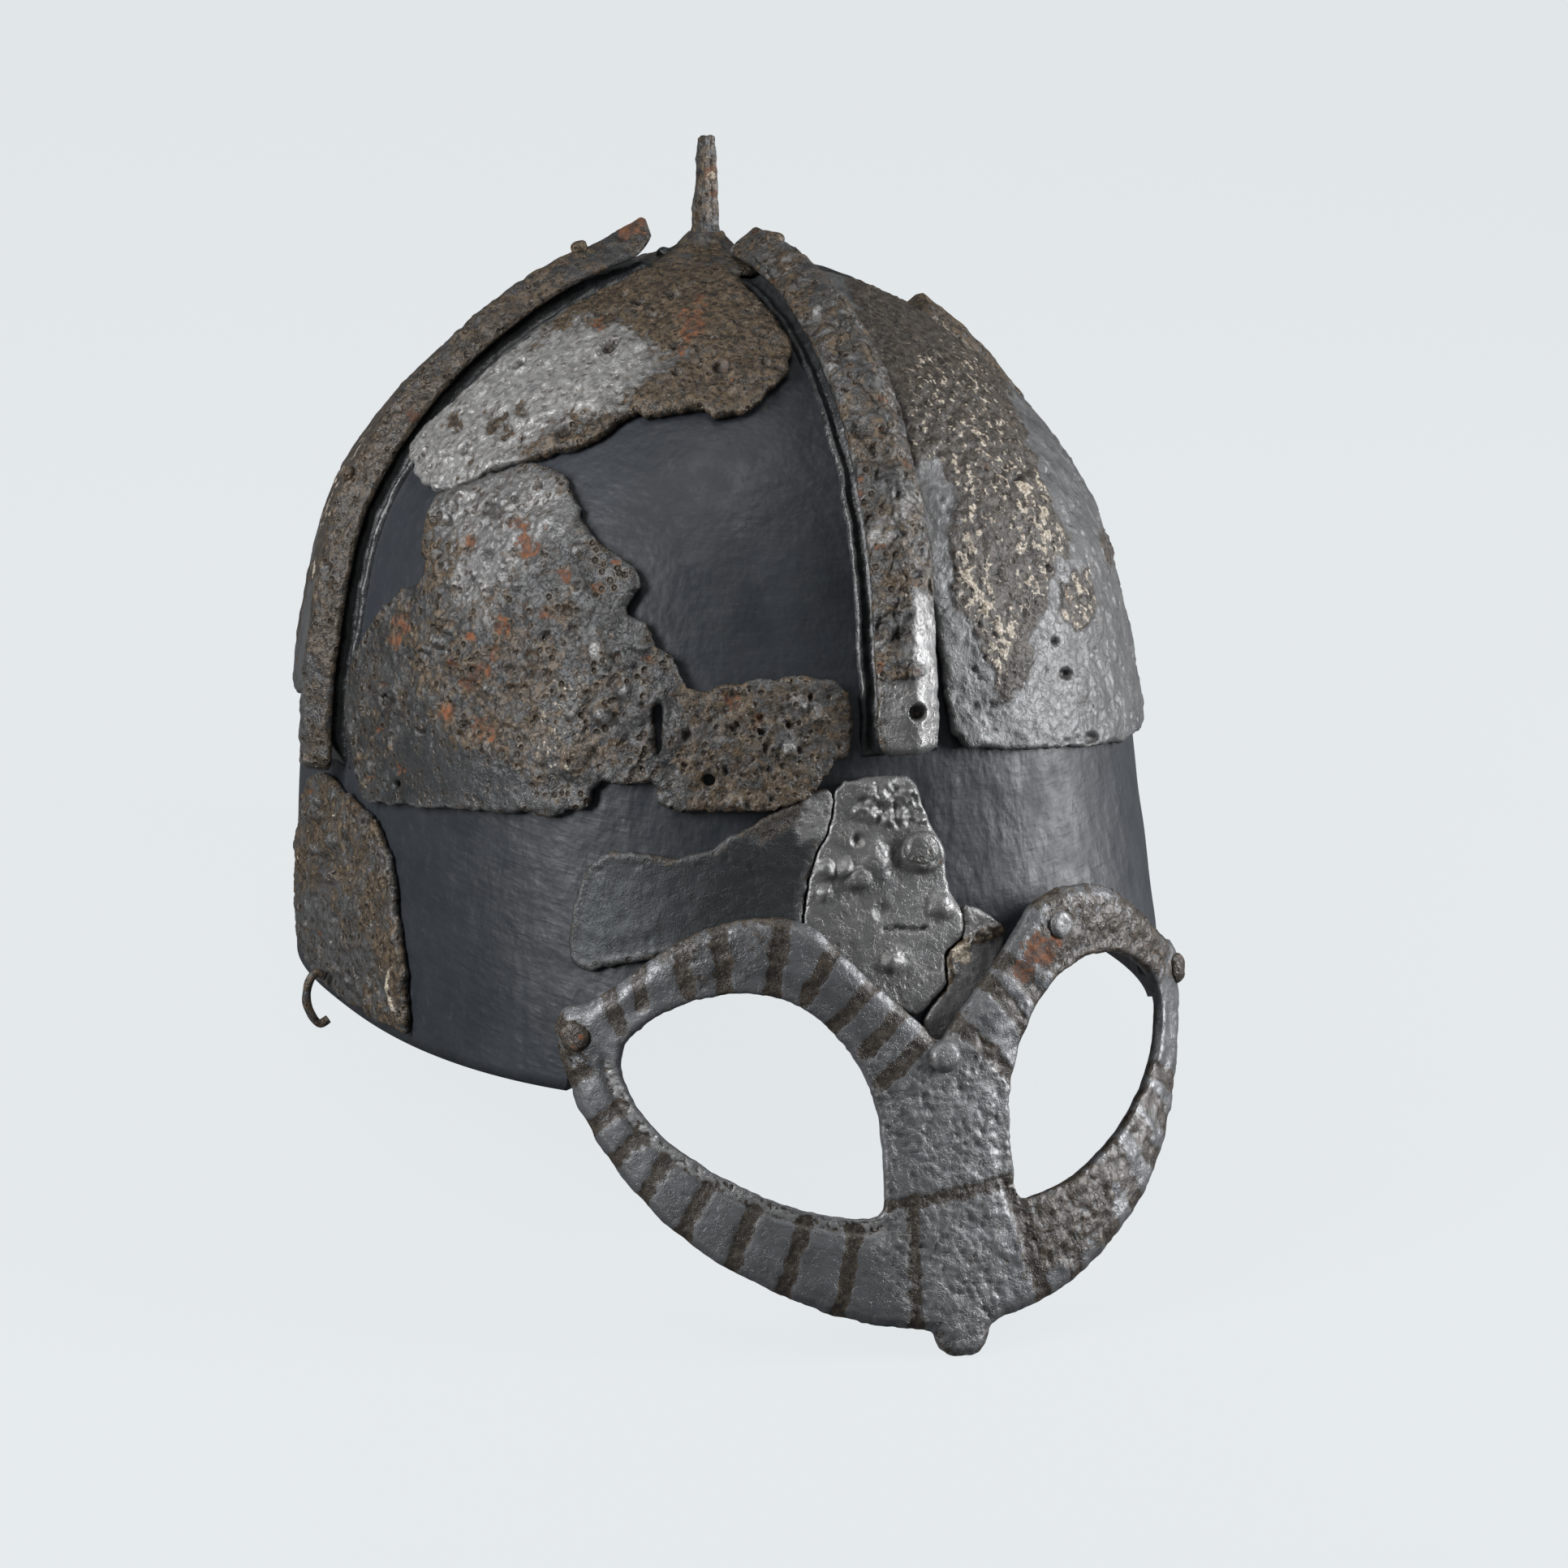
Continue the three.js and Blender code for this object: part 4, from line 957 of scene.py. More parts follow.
LOWER_RUST = [(494, 769, 13), (487, 790, 9), (620, 772, 13), (598, 905, 15), (592, 890, 10), (546, 881, 11),
              (552, 870, 8), (638, 647, 11), (651, 673, 14), (605, 804, 10), (697, 710, 11), (736, 724, 9),
              (758, 695, 8), (673, 758, 9), (581, 669, 7), (583, 787, 8), (476, 843, 5), (494, 946, 5),
              (801, 813, 5), (670, 649, 5), (590, 830, 14), (575, 845, 9), (905, 865, 12), (870, 850, 7),
              (930, 890, 7), (460, 960, 5), (470, 900, 5), (560, 820, 7)]
LOWER_PITS = [(605, 628, 12), (636, 617, 6), (601, 686, 7), (581, 715, 6), (553, 785, 6), (479, 865, 8),
              (670, 787, 7), (534, 776, 5), (545, 800, 5), (530, 815, 5), (500, 800, 5), (575, 893, 7),
              (570, 905, 5), (520, 905, 4), (850, 905, 6), (895, 950, 6), (940, 905, 5), (905, 900, 4)]
LOWER_BUMPS = [(594, 719, 6), (570, 612, 8), (616, 660, 7), (714, 676, 8), (655, 828, 5), (736, 802, 12),
               (625, 700, 5), (560, 760, 5), (548, 772, 5), (538, 790, 5), (524, 800, 6), (556, 815, 7),
               (600, 850, 8), (710, 880, 10), (745, 880, 12), (765, 850, 9), (640, 720, 5), (790, 800, 6),
               (905, 990, 8), (1010, 880, 9), (985, 865, 8), (975, 925, 7)]


def relief_lower(points, photo, edge):
    warped = warp(photo, points, 7, 3, 81)
    top = area(warped, LOWER_TOP, 26)
    calm = area(warped, LOWER_CALM, 22)
    scab = area(warped, LOWER_SCAB, 14)
    lumpy = area(warped, LOWER_LUMPY, 25)
    golden = area(warped, LOWER_GOLDEN, 24)
    left_flakes = area(warped, LOWER_FLAKES, 14)
    strip = step_up(photo[:, 0], 815, 850)
    from_ring = np.hypot(warped[:, 0] - LOWER_RING[0], warped[:, 1] - LOWER_RING[1])
    ring = step_up(from_ring, 20, 26) * (1 - step_up(from_ring, 26, 32))
    crack = 1 - step_up(line_distance(photo, LOWER_CRACK), 2, 6)
    rust = spots(warped, LOWER_RUST, 0.45)
    deep = spots(warped, LOWER_PITS, 0.35)
    raised = spots(warped, LOWER_BUMPS, 0.6)
    hollows, lips = craters(points, 4.4, 0.42, 53)
    hollows, lips = hollows * (1 - calm), lips * (1 - calm)
    small, small_lips = craters(points, 2.2, 0.5, 57)
    small, small_lips = small * (1 - 0.7 * calm), small_lips * (1 - 0.7 * calm)
    lumps = round_lumps(points, 4.6, 0.4, 0.5, 59)

    high = base_relief(points, 0.75) * (1 - 0.75 * calm) + 0.5 * lumps * (0.5 + lumpy) * (1 - calm)
    high = high - 0.8 * hollows - 0.45 * small - 1.3 * deep + 1.0 * raised - 0.45 * rust + 0.6 * ring
    high = high + 0.4 * scab + 0.35 * lips + 0.2 * small_lips + (1 - calm) * 0.22 * layered(points, 1.6, 2, 55)
    high = high + 0.5 * step_up(spots(warped, LOWER_PITS, 0.6), 0.05, 0.4) * (1 - deep)
    high = high + 0.5 * left_flakes * layered(points, 2.5, 3, 93) - 1.5 * crack
    brown = (0.14 + 0.42 * layered(points, 7, 5, 87, 0.65) + 0.32 * golden + 0.42 * strip + 0.3 * ring
             - 0.25 * calm - 0.1 * top + 0.3 * lips + 0.4 * left_flakes + 0.4 * hollows + 0.25 * small
             + 0.35 * step_up(spots(warped, LOWER_RUST, 1.6), 0.0, 0.6))
    # A painted highlight along the plate's lower rim
    painted_rim_highlight = (1 - step_up(edge, 0.3, 1.1)) * step_up(photo[:, 1], 970, 985)
    painted_rim_highlight = painted_rim_highlight * (1 - step_up(photo[:, 0], 560, 640))
    # The bumps and the lips round craters get painted glints
    bare_metal_and_highlight = (0.02 + 0.38 * top + 0.07 * layered(points, 6, 4, 99)) * (1 - hollows) + 0.4 * raised
    sunken = 0.9 * step_up(deep, 0.3, 0.9) + 0.6 * step_up(hollows, 0.4, 0.9) + 0.35 * small + crack
    return high, {"rust": 0.62 * rust + 0.3 * hollows, "brown": brown,
                  "crust": 0.4 * scab * step_up(noise(points, 2.0, 97), -0.3, 0.4),
                  "bare_metal_and_highlight": bare_metal_and_highlight + 0.3 * lips + 0.1 * strip + 0.6 * painted_rim_highlight,
                  "smooth": 0.4 * top, "slate": 0.6 * calm, "hollow": np.clip(sunken, 0, 1)}


LEFT_BROWN = [(1040, 320), (1110, 330), (1190, 385), (1230, 450), (1262, 540), (1285, 600), (1312, 668),
              (1318, 690), (1300, 690), (1288, 740), (1270, 790), (1255, 850), (1232, 870), (1212, 800),
              (1180, 740), (1168, 680), (1178, 600), (1150, 570), (1112, 572), (1080, 500), (1060, 440)]
LEFT_ISLAND = [(1310, 720), (1330, 695), (1345, 730), (1342, 765), (1325, 778), (1305, 760)]
LEFT_STREAK = [(1350, 650), (1362, 660), (1375, 700), (1366, 700)]
LEFT_CRUST = [(1165, 690), (1180, 650), (1178, 575), (1190, 590), (1200, 680), (1230, 740), (1262, 750),
              (1250, 800), (1235, 860), (1222, 850), (1205, 780), (1180, 740)]
LEFT_CRUST_EDGE = [(1255, 600), (1290, 600), (1318, 680), (1300, 690), (1285, 740), (1262, 745), (1270, 680)]
LEFT_SPECKS = [(1110, 430), (1200, 420), (1260, 540), (1300, 640), (1280, 740), (1170, 700), (1120, 560)]
LEFT_HOLES = [(1312, 830, 6), (1345, 910, 7), (1252, 588, 5), (1290, 700, 4), (1298, 790, 4)]


def relief_left(points, photo, edge):
    warped = warp(warp(photo, points, 10, 5, 61), points, 4, 1.6, 63)
    brown = np.maximum(area(warped, LEFT_BROWN, 5), area(warped, LEFT_ISLAND, 4))
    brown = np.maximum(brown, area(warped, LEFT_STREAK, 3))
    dense = np.maximum(area(warped, LEFT_CRUST, 16), 0.75 * area(warped, LEFT_CRUST_EDGE, 16))
    dense = np.maximum(dense, 0.9 * area(warped, LEFT_ISLAND, 6))
    specks = area(warped, LEFT_SPECKS, 30)
    speckle = layered(points, 2.2, 4, 65, 0.7)
    crust = brown * (0.85 * dense * step_up(speckle, -0.3, 0.5) + 0.7 * specks * step_up(speckle, 0.2, 0.6))
    flakes = flaked(points, 8.0, 66, 4, 0.03)
    low_flakes = 1 - brown
    rough = brown * (0.55 * layered(points, 3.0, 4, 67, 0.6) + 0.35)
    holes = spots(photo, LEFT_HOLES, 0.4)
    chips = flaked(points, 2.8, 74, 3, 0.05, 3) - 0.5
    small, lips = craters(points, 2.4, 0.35, 68)
    high = (0.75 * rough + brown * 0.45 * chips + low_flakes * 1.1 * (flakes - 0.5) - 0.5 * small + 0.15 * lips
            - 1.6 * holes + 0.35 * crust + 0.35 * layered(points, 14.0, 2, 69))
    top = step_up(layered(points, 6, 3, 70), -0.2, 0.5)
    edges = low_flakes * (1 - step_up(np.abs(flakes * 4 - np.floor(flakes * 4) - 0.5), 0.0, 0.45))
    return high, {"brown": brown + 0.35 * low_flakes * top * step_up(speckle, 0.0, 0.5) + 0.5 * edges,
                  "crust": crust, "bare_metal_and_highlight": low_flakes * (0.02 + 0.15 * layered(points, 7, 3, 75)),
                  "smooth": low_flakes * 0.7, "rust": 0.25 * brown * step_up(noise(points, 5, 73), 0.35, 0.8),
                  "hollow": np.clip(holes + 0.5 * brown * step_up(-speckle, 0.5, 0.9), 0, 1)}


def relief_rear(points, photo, edge):
    """The unseen rear fragments: brown crust over grey flakes, worn smooth near the rim."""
    height = points[:, 2] / SHELL_HEIGHT
    wander = layered(points, 26.0, 4, 101)
    brown = step_up(height + 0.35 * wander, 0.52, 0.62)
    speckle = layered(points, 2.8, 4, 103, 0.65)
    crust = brown * step_up(layered(points, 22, 3, 105), 0.1, 0.5) * step_up(speckle, 0.05, 0.5)
    flakes = flaked(points, 8.0, 106, 6, 0.08)
    hollows = pits(points, 4.4, 0.3, 107)
    high = 0.35 * layered(points, 5.0, 3, 108) * brown + (1 - brown) * (flakes - 0.5) - 0.7 * hollows
    return high, {"brown": brown * 0.9 + 0.3 * hollows, "crust": crust * 0.8, "smooth": (1 - brown) * 0.6,
                  "rust": step_up(noise(points, 7, 109), 0.45, 0.8), "hollow": 0.6 * step_up(hollows, 0.5, 1)}


SIDE_DEEP = [(398, 1020, 9), (403, 1060, 9), (392, 1085, 7), (388, 1190, 6)]
SIDE_PEAKS = [(385, 1000, 9), (412, 1035, 8), (390, 1045, 7), (410, 1080, 7), (394, 985, 8), (402, 1020, 6),
              (400, 1048, 6), (413, 1195, 6)]
SIDE_WIRE = [(485, 1192), (480, 1210), (483, 1231), (490, 1252)]
SIDE_GREY = [(365, 1100), (430, 1105), (450, 1170), (440, 1240), (375, 1200)]
SIDE_RUST = [(371, 1195, 6), (385, 975, 4), (395, 1150, 4)]


def relief_side(points, photo, edge):
    flakes = flaked(points, 6.0, 111, 5, 0.08)
    hollows = pits(points, 3.6, 0.45, 113)
    peak = spots(photo, SIDE_PEAKS, 0.7)
    grain = noise(points * [1, 1, 0.25], 1.4, 120) * step_up(photo[:, 0], 410, 440)
    wire = 1 - step_up(line_distance(photo, SIDE_WIRE), 0.8, 2.0)
    grey = area(photo, SIDE_GREY, 20)
    high = (1.2 * (flakes - 0.5) + 0.4 * layered(points, 3, 3, 115) - 0.9 * hollows
            - 1.0 * spots(photo, SIDE_DEEP, 0.5) + 1.5 * peak + 0.45 * grain + 0.6 * wire)
    brown = 0.58 + 0.4 * layered(points, 7, 3, 117) - 0.4 * grey - 0.3 * peak
    rust = np.maximum(spots(photo, SIDE_RUST, 0.6), 0.35 * hollows)
    return high, {"brown": brown, "rust": rust, "bare_metal_and_highlight": 0.18 * (1 - hollows) + 0.2 * peak,
                  "crust": np.maximum(0.45 * step_up(noise(points, 2.2, 119), 0.4, 0.8), wire),
                  "hollow": 0.5 * hollows + 0.45 * step_up(-grain, 0.15, 0.5)}


DARK_CORNER = [(925, 1030), (950, 985), (1000, 975), (985, 1010), (940, 1045)]
DARK_LIGHT_TOP = [(1000, 972), (1043, 968), (1030, 1025), (985, 1040), (975, 1010)]
DARK_SWIRLS = [(930, 1075, 14), (1000, 1060, 9)]


def relief_dark(points, photo, edge):
    corner = area(warp(photo, points, 8, 4, 121), DARK_CORNER, 10)
    light_top = area(photo, DARK_LIGHT_TOP, 8)
    rim = 1 - step_up(edge, 0.6, 2.2)
    swirl = spots(photo, DARK_SWIRLS, 0.5)
    high = 0.22 * layered(points, 7, 3, 123) + 0.25 * swirl * noise(points, 1.5, 125)
    high = high + 0.5 * corner * noise(points, 2, 126) - 0.2 * pits(points, 2.2, 0.12, 127)
    return high, {"brown": 0.6 * corner + 0.7 * rim * step_up(noise(points, 4, 128), -0.3, 0.5)
                  + 0.12 * step_up(noise(points, 12, 129), -0.2, 0.6),
                  "slate": (1 - 0.8 * corner) * (1 - light_top) * (1 - 0.6 * rim), "smooth": 0.5 * light_top,
                  "bare_metal_and_highlight": 0.35 * light_top}


LIGHT_CRUSTY = [(1052, 1005), (1060, 968), (1140, 965), (1150, 1010), (1100, 1022)]
LIGHT_HEAD = [(1137, 1050, 24)]
LIGHT_CAP = [(1131, 1058, 12)]
LIGHT_LUMPS = [(1075, 1062, 18), (1058, 1080, 14), (1040, 1072, 10), (1015, 1100, 8), (1098, 1186, 10),
               (1160, 1115, 13), (1018, 1072, 9)]
LIGHT_DENTS = [(1086, 1122, 8), (1055, 1035, 6)]
LIGHT_BAND = [(1030, 1035), (1060, 1015), (1150, 1010), (1165, 1035), (1100, 1040), (1050, 1050)]
LIGHT_CRACK = [(1090, 1146), (1105, 1143), (1122, 1146), (1140, 1143)]
LIGHT_RUST = [(1128, 1045, 3), (1155, 1062, 3)]


def relief_light(points, photo, edge):
    warped = warp(photo, points, 4, 2.5, 131)
    crusty = area(warped, LIGHT_CRUSTY, 6)
    dents = spots(photo, LIGHT_DENTS, 0.8)
    crack = 1 - step_up(line_distance(photo, LIGHT_CRACK), 1.5, 4)
    high = 0.2 * layered(points, 6, 3, 133) + crusty * (0.7 + 1.3 * layered(points, 3.2, 3, 135))
    high = high + 1.6 * spots(photo, LIGHT_HEAD, 0.15) + 0.9 * spots(photo, LIGHT_CAP, 0.2)
    high = high + 1.5 * spots(warped, LIGHT_LUMPS, 0.7) + 0.5 * area(photo, LIGHT_BAND, 9)
    return high - 0.9 * dents - 0.8 * crack, {
        "brown": 0.2 * step_up(noise(points, 3, 137), 0.4, 0.8), "smooth": 0.8,
        "bare_metal_and_highlight": 0.34 + 0.12 * noise(points, 6, 138), "rust": spots(photo, LIGHT_RUST, 0.6),
        "hollow": 0.8 * crack + 0.3 * dents}


STRIP_SEAM = [(1241, 1143), (1220, 1150), (1195, 1160), (1165, 1175), (1168, 1205), (1150, 1230), (1131, 1234)]
STRIP_CREAM = [(1185, 1176, 12)]


def relief_strip(points, photo, edge):
    warped = warp(photo, points, 3, 1.5, 141)
    seam = 1 - step_up(line_distance(warped, STRIP_SEAM), 4, 11)
    high = 0.25 * layered(points, 4, 3, 143) + 0.7 * seam * (0.5 + noise(points, 1.6, 145))
    return high, {"smooth": 0.8, "bare_metal_and_highlight": 0.55, "crust": spots(warped, STRIP_CREAM, 0.4) * 0.85,
                  "brown": seam * 0.9, "hollow": 0.5 * seam * step_up(noise(points, 1.3, 147), 0.2, 0.6)}


RELIEFS = {
    "plate_front_right_upper": relief_upper,
    "plate_front_right_lower": relief_lower,
    "plate_front_left": relief_left,
    "plate_rear_right": relief_rear,
    "plate_rear_left": relief_rear,
    "brow_fragment_side": relief_side,
    "brow_fragment_dark": relief_dark,
    "brow_fragment_light": relief_light,
    "brow_strip": relief_strip,
}

# For each fragment: thickness, mesh spacing, raggedness of its edge, material and slot.
FRAGMENTS = {
    "plate_front_right_upper": (PLATE_THICKNESS, 0.6, 1.0, PITTED, "pitted_iron"),
    "plate_front_right_lower": (PLATE_THICKNESS, 0.6, 1.0, PITTED, "pitted_iron"),
    "plate_front_left": (PLATE_THICKNESS, 0.62, 0.7, RUSTY, "rusty_iron"),
    "plate_rear_right": (PLATE_THICKNESS, 0.95, 1.2, RUSTY, "rusty_iron"),
    "plate_rear_left": (PLATE_THICKNESS, 0.95, 1.2, RUSTY, "rusty_iron"),
    "brow_fragment_side": (BROW_THICKNESS, 0.6, 1.1, PITTED, "pitted_iron"),
    "brow_fragment_dark": (BROW_THICKNESS - 0.5, 0.6, 0.8, RUSTY, "rusty_iron"),
    "brow_fragment_light": (BROW_THICKNESS - 0.5, 0.45, 0.5, PITTED, "pitted_iron"),
    "brow_strip": (BROW_THICKNESS - 0.5, 0.45, 0.5, PITTED, "pitted_iron"),
}


def oval(u, v, across, down, count):
    """An oval outline in photograph pixels."""
    angles = np.linspace(0, 2 * math.pi, count, endpoint=False)
    return [(u + across * math.cos(a), v + down * math.sin(a)) for a in angles]


# Holes right through, in photograph pixels: two round ones and a slit.
LOWER_SLIT = [(808, 872), (818, 868), (819, 890), (817, 905), (818, 926), (812, 933), (808, 915), (810, 900),
              (805, 885)]
HOLES = {"plate_front_right_lower": [oval(874, 961, 8, 8, 12), oval(502, 965, 4, 5, 10), LOWER_SLIT]}
# How far in front of the dome's middle the search for its surface begins, and its number of steps.
RAY_REACH, RAY_STEPS = 220, 2200
# The least distance between a fragment's edge and the middle of a band.
BAND_LIMIT = RIB_HALF_WIDTH + 0.6


def hole_loop(pixels, chart):
    """A photograph outline laid on the dome, in the flat map."""
    loop = []
    middle = PHOTO_SIZE / 2
    for u, v in pixels:
        ray = unit(-CAMERA_BACK * FOCAL_PIXELS + CAMERA_RIGHT * (u - middle) - CAMERA_UP * (v - middle))
        run = np.linspace(CAMERA_DISTANCE - RAY_REACH, CAMERA_DISTANCE, RAY_STEPS)
        points = CAMERA_PLACE + run[:, None] * ray
        share = np.clip(points[:, 2] / SHELL_HEIGHT, 0, HIGHEST)
        bearing = np.arctan2(points[:, 0], -points[:, 1])
        surface = dome(bearing, share)
        inside = np.hypot(points[:, 0], points[:, 1]) < np.hypot(surface[:, 0], surface[:, 1])
        inside &= (points[:, 2] < SHELL_HEIGHT) & (points[:, 2] > 0)
        loop.append(chart.flat(points[[int(np.argmax(inside))]])[0])
    return np.array(loop)


def clear_bands(loop, chart):
    """A flat outline pushed off the bands' ribs."""
    for name, (_, low, high, _) in BANDS.items():
        shares, _ = even_shares(name, low - 0.01, min(high, 0.975), 2.0)
        line = chart.flat(band_place(name, shares)[0])
        tangent = unit(np.gradient(line, axis=0))
        gap = loop[:, None, :] - line[None, :, :]
        far = np.linalg.norm(gap, axis=2)
        index = far.argmin(1)
        nearest_gap, nearest_far = gap[np.arange(len(loop)), index], far[np.arange(len(loop)), index]
        normal = np.stack([-tangent[index][:, 1], tangent[index][:, 0]], 1)
        middle_side = np.sum((loop.mean(0) - line[len(line) // 2]) * normal[index.argmin()])
        side = 1.0 if middle_side > 0 else -1.0
        crossed = (nearest_far < 2.5 * BAND_LIMIT) & (np.sum(nearest_gap * normal, axis=1) * side < BAND_LIMIT)
        beyond = (index == 0) | (index == len(line) - 1)
        pushed = ((nearest_far < BAND_LIMIT) | crossed) & ~beyond
        loop = np.where(pushed[:, None], line[index] + normal * side * BAND_LIMIT, loop)
    return loop


def build_fragment(name):
    thickness, spacing, ragged, material, slot = FRAGMENTS[name]
    outline = np.array(OUTLINES[name], float)
    middle = np.radians(outline[:, 0]).mean()
    chart = FlatMap(middle, outline[:, 1].mean())
    loops = [chart.flat(dome(np.radians(outline[:, 0]), outline[:, 1]))]
    loops += [hole_loop(pixels, chart) for pixels in HOLES.get(name, [])]
    shaped = []
    for number, loop in enumerate(loops):
        loop = subdivide(round_loop(loop, 1), spacing * 0.9)
        place = dome(*chart.place(loop))
        amount = ragged if number == 0 else 0.25
        for axis in (0, 1):
            wander = 0.75 * noise(place, 5.5, 201 + axis) + 0.4 * noise(place, 2.0, 203 + axis)
            loop[:, axis] += amount * (wander + 0.22 * noise(place, 0.9, 205 + axis))
        if number == 0:
            loop = clear_bands(loop, chart)
        shaped.append(tidy_loop(loop, spacing * 0.35))
    rim = np.concatenate(shaped)
    relief = RELIEFS[name]

    def place(flat):
        bearing, share = chart.place(flat)
        surface, normal = dome(bearing, share), dome_normal(bearing, share)
        edge = nearest(flat, rim)
        high, masks = relief(surface, to_photo(surface + normal * thickness), edge)
        rounding = 0.3 * (1 - step_up(edge, 0.0, 0.7))
        top = CLEARANCE + thickness + np.clip(high, -thickness + 0.7, 2.2) * step_up(edge, -0.5, 1.2) - rounding
        return surface, normal, np.full(len(flat), CLEARANCE), np.maximum(top, CLEARANCE + 0.5), masks

    points, faces, masks = slab(shaped, spacing, place, len(name))
    add_piece("visual_" + name, points, faces, masks, material, (name,))


def tidy_loop(loop, least):
    """A loop without points that lie closer together than the given length."""
    kept = [loop[0]]
    for point in loop[1:]:
        if np.linalg.norm(point - kept[-1]) > least:
            kept.append(point)
    if np.linalg.norm(kept[-1] - kept[0]) < least:
        kept.pop()
    return np.array(kept)


# The support shell

# Beside the left eye's outer end the rim runs out over this width from this height.
EYE_END, RIM_RUNOUT, RIM_RUNOUT_HEIGHT = 64.0, 16.0, 15.0
# The rim is cut back round the eyes only this many degrees to either side of the front.
EYE_BEARING = 60
# Rings and turns of the shell's mesh, with finer turns over the front, and rings left out inside.
SHELL_TURNS, SHELL_RISES, INNER_STEP = 360, 128, 4
FRONT_TURNS = np.radians(np.arange(-45, 45, 0.5)) + 0.0001


def guard_face(x, z):
    """How far the guard's outer face stands ahead at x and z."""
    rest = 1 - np.minimum(np.abs(x) / (SHELL_HALF_WIDTH + GUARD_SIDE_LEAD), 0.99) ** GUARD_FULLNESS
    return GUARD_LEAD * rest ** (1 / GUARD_FULLNESS) - GUARD_SLOPE * z


def eye_outline(grow):
    """One eye's outline on the wearer's left in x and z, grown by a margin."""
    places = np.array(GUARD_EYE) * [GUARD_HALF_WIDTH, GUARD_HEIGHT]
    places[:, 1] -= GUARD_DROP
    before, after = np.roll(places, 1, axis=0), np.roll(places, -1, axis=0)
    along = unit(after - before)
    normal = np.stack([along[:, 1], -along[:, 0]], 1)
    if np.mean(np.sum((places - places.mean(0)) * normal, axis=1)) < 0:
        normal = -normal
    return places + normal * grow


def rim_height(bearings):
    """Height of the shell's lower edge, raised where the brow is cut back round each eye."""
    outline = subdivide(eye_outline(EYE_RELIEF), 1.0)
    heights = []
    for bearing in bearings:
        x = dome(np.array([bearing]), np.array([0.1]))[0, 0]
        if abs(math.degrees(bearing)) > EYE_BEARING:
            heights.append(0.0)
            continue
        near = np.abs(outline[:, 0] - abs(x)) < 1.2
        top = outline[near, 1].max() if near.any() else 0.0
        if EYE_END < x < EYE_END + RIM_RUNOUT:
            top = max(top, RIM_RUNOUT_HEIGHT * (1 - (x - EYE_END) / RIM_RUNOUT))
        heights.append(max(top, 0.0))
    return np.array(heights)


def build_shell():
    bearings = np.linspace(-math.pi, math.pi, SHELL_TURNS, endpoint=False)
    bearings = np.unique(np.round(np.concatenate([bearings, FRONT_TURNS]), 5))
    edge = rim_height(bearings) / SHELL_HEIGHT
    outer, inner = [], []
    for fall in np.linspace(0.012, 1, SHELL_RISES)[::-1]:
        row = edge + (1 - edge) * (1 - fall * fall)
        surface, normal = dome(bearings, row), dome_normal(bearings, row)
        ripple = noise(surface * [1, 1, 0.16], 3.2, 301) * (1 - step_up(row, 0.3, 0.5))
        wave = layered(surface, 16, 2, 303)
        keep = step_up(row - edge, 0.0, 0.02)
        outer.append(surface + normal * ((0.12 * ripple + 0.14 * wave) * keep)[:, None])
        inner.append(surface - normal * SHELL_WALL)
    inner = np.array(inner)[::INNER_STEP]
    inner[:, :, 2] = np.maximum(inner[:, :, 2], (edge * SHELL_HEIGHT)[None, :])
    points, faces = tube(np.concatenate([inner[::-1], np.array(outer)]))
    add_piece("visual_support_shell", points, outward_faces(points, faces), {}, PAINT,
              ("support_shell",))


# Half of a rib's section with its channel and lip: shares of the rib's half width and height.
RIB_SECTION = [(0.0, 0.9), (0.62, 0.92), (0.9, 0.8), (1.0, 0.5), (1.06, 0.16), (1.28, 0.1), (1.4, 0.3),
               (1.5, 0.34), (1.6, 0.2), (1.68, -0.1)]
RIB_UNDERSIDE = [(1.68, -0.3), (0.0, -0.3), (-1.68, -0.3)]
RIB_SPACING = 0.9
# Lengths over which a rib rises from its low end and falls to its high end, in mm.
RIB_RISE, RIB_FALL = 6, 5
RIB_STAINS = [(530, 500, 16), (500, 540, 12), (930, 375, 8)]


def build_rib(name, low, high, seed):
    """The rib under a band, with a channel and a thin lip beside the band on either side."""
    shares, _ = even_shares(name, low, high, RIB_SPACING)
    section = [(-a, h) for a, h in RIB_SECTION[::-1]] + RIB_SECTION[1:] + RIB_UNDERSIDE
    rings, lips = [], []
    base, _ = band_place(name, shares)
    run = np.arange(len(shares)) * RIB_SPACING
    fade = np.clip(run / RIB_RISE, 0.03, 1) * np.clip(run[::-1] / RIB_FALL, 0.1, 1)
    for across, rise in section:
        wander = 0.45 * np.sign(across) * layered(base, 9, 3, seed + int(across > 0)) * (abs(across) > 1)
        surface, normal = band_place(name, shares, across * RIB_HALF_WIDTH + wander)
        height = rise * RIB_HEIGHT + 0.35 * layered(surface, 5, 3, seed + 3) * (rise > 0)
        rings.append(surface + normal * np.where(rise > 0, height * fade, height)[:, None])
        lips.append(np.full(len(shares), 1.0 if 1.35 < abs(across) < 1.55 else 0.0))
    points, faces = tube(np.stack(rings, 1))
    lip = np.concatenate([np.stack(lips, 1).reshape(-1), [0, 0]])
    # A painted highlight along the crest of each lip
    masks = {"bare_metal_and_highlight": lip * step_up(noise(points, 14, seed + 7), -0.3, 0.3),
             "crust": lip * spots(to_photo(points), RIB_STAINS, 0.6)}
    return points, outward_faces(points, faces), masks


# Bands

# Half of a band's section: shares of its half width and height.
BAND_SECTION = [(1.0, 0.0), (1.02, 0.12), (1.0, 0.3), (0.93, 0.42), (0.84, 0.52), (0.72, 0.62), (0.6, 0.71),
                (0.5, 0.78), (0.4, 0.85), (0.3, 0.91), (0.2, 0.96), (0.1, 0.99), (0.0, 1.0)]
BAND_UNDERSIDE = (0.85, 0.0, -0.85)


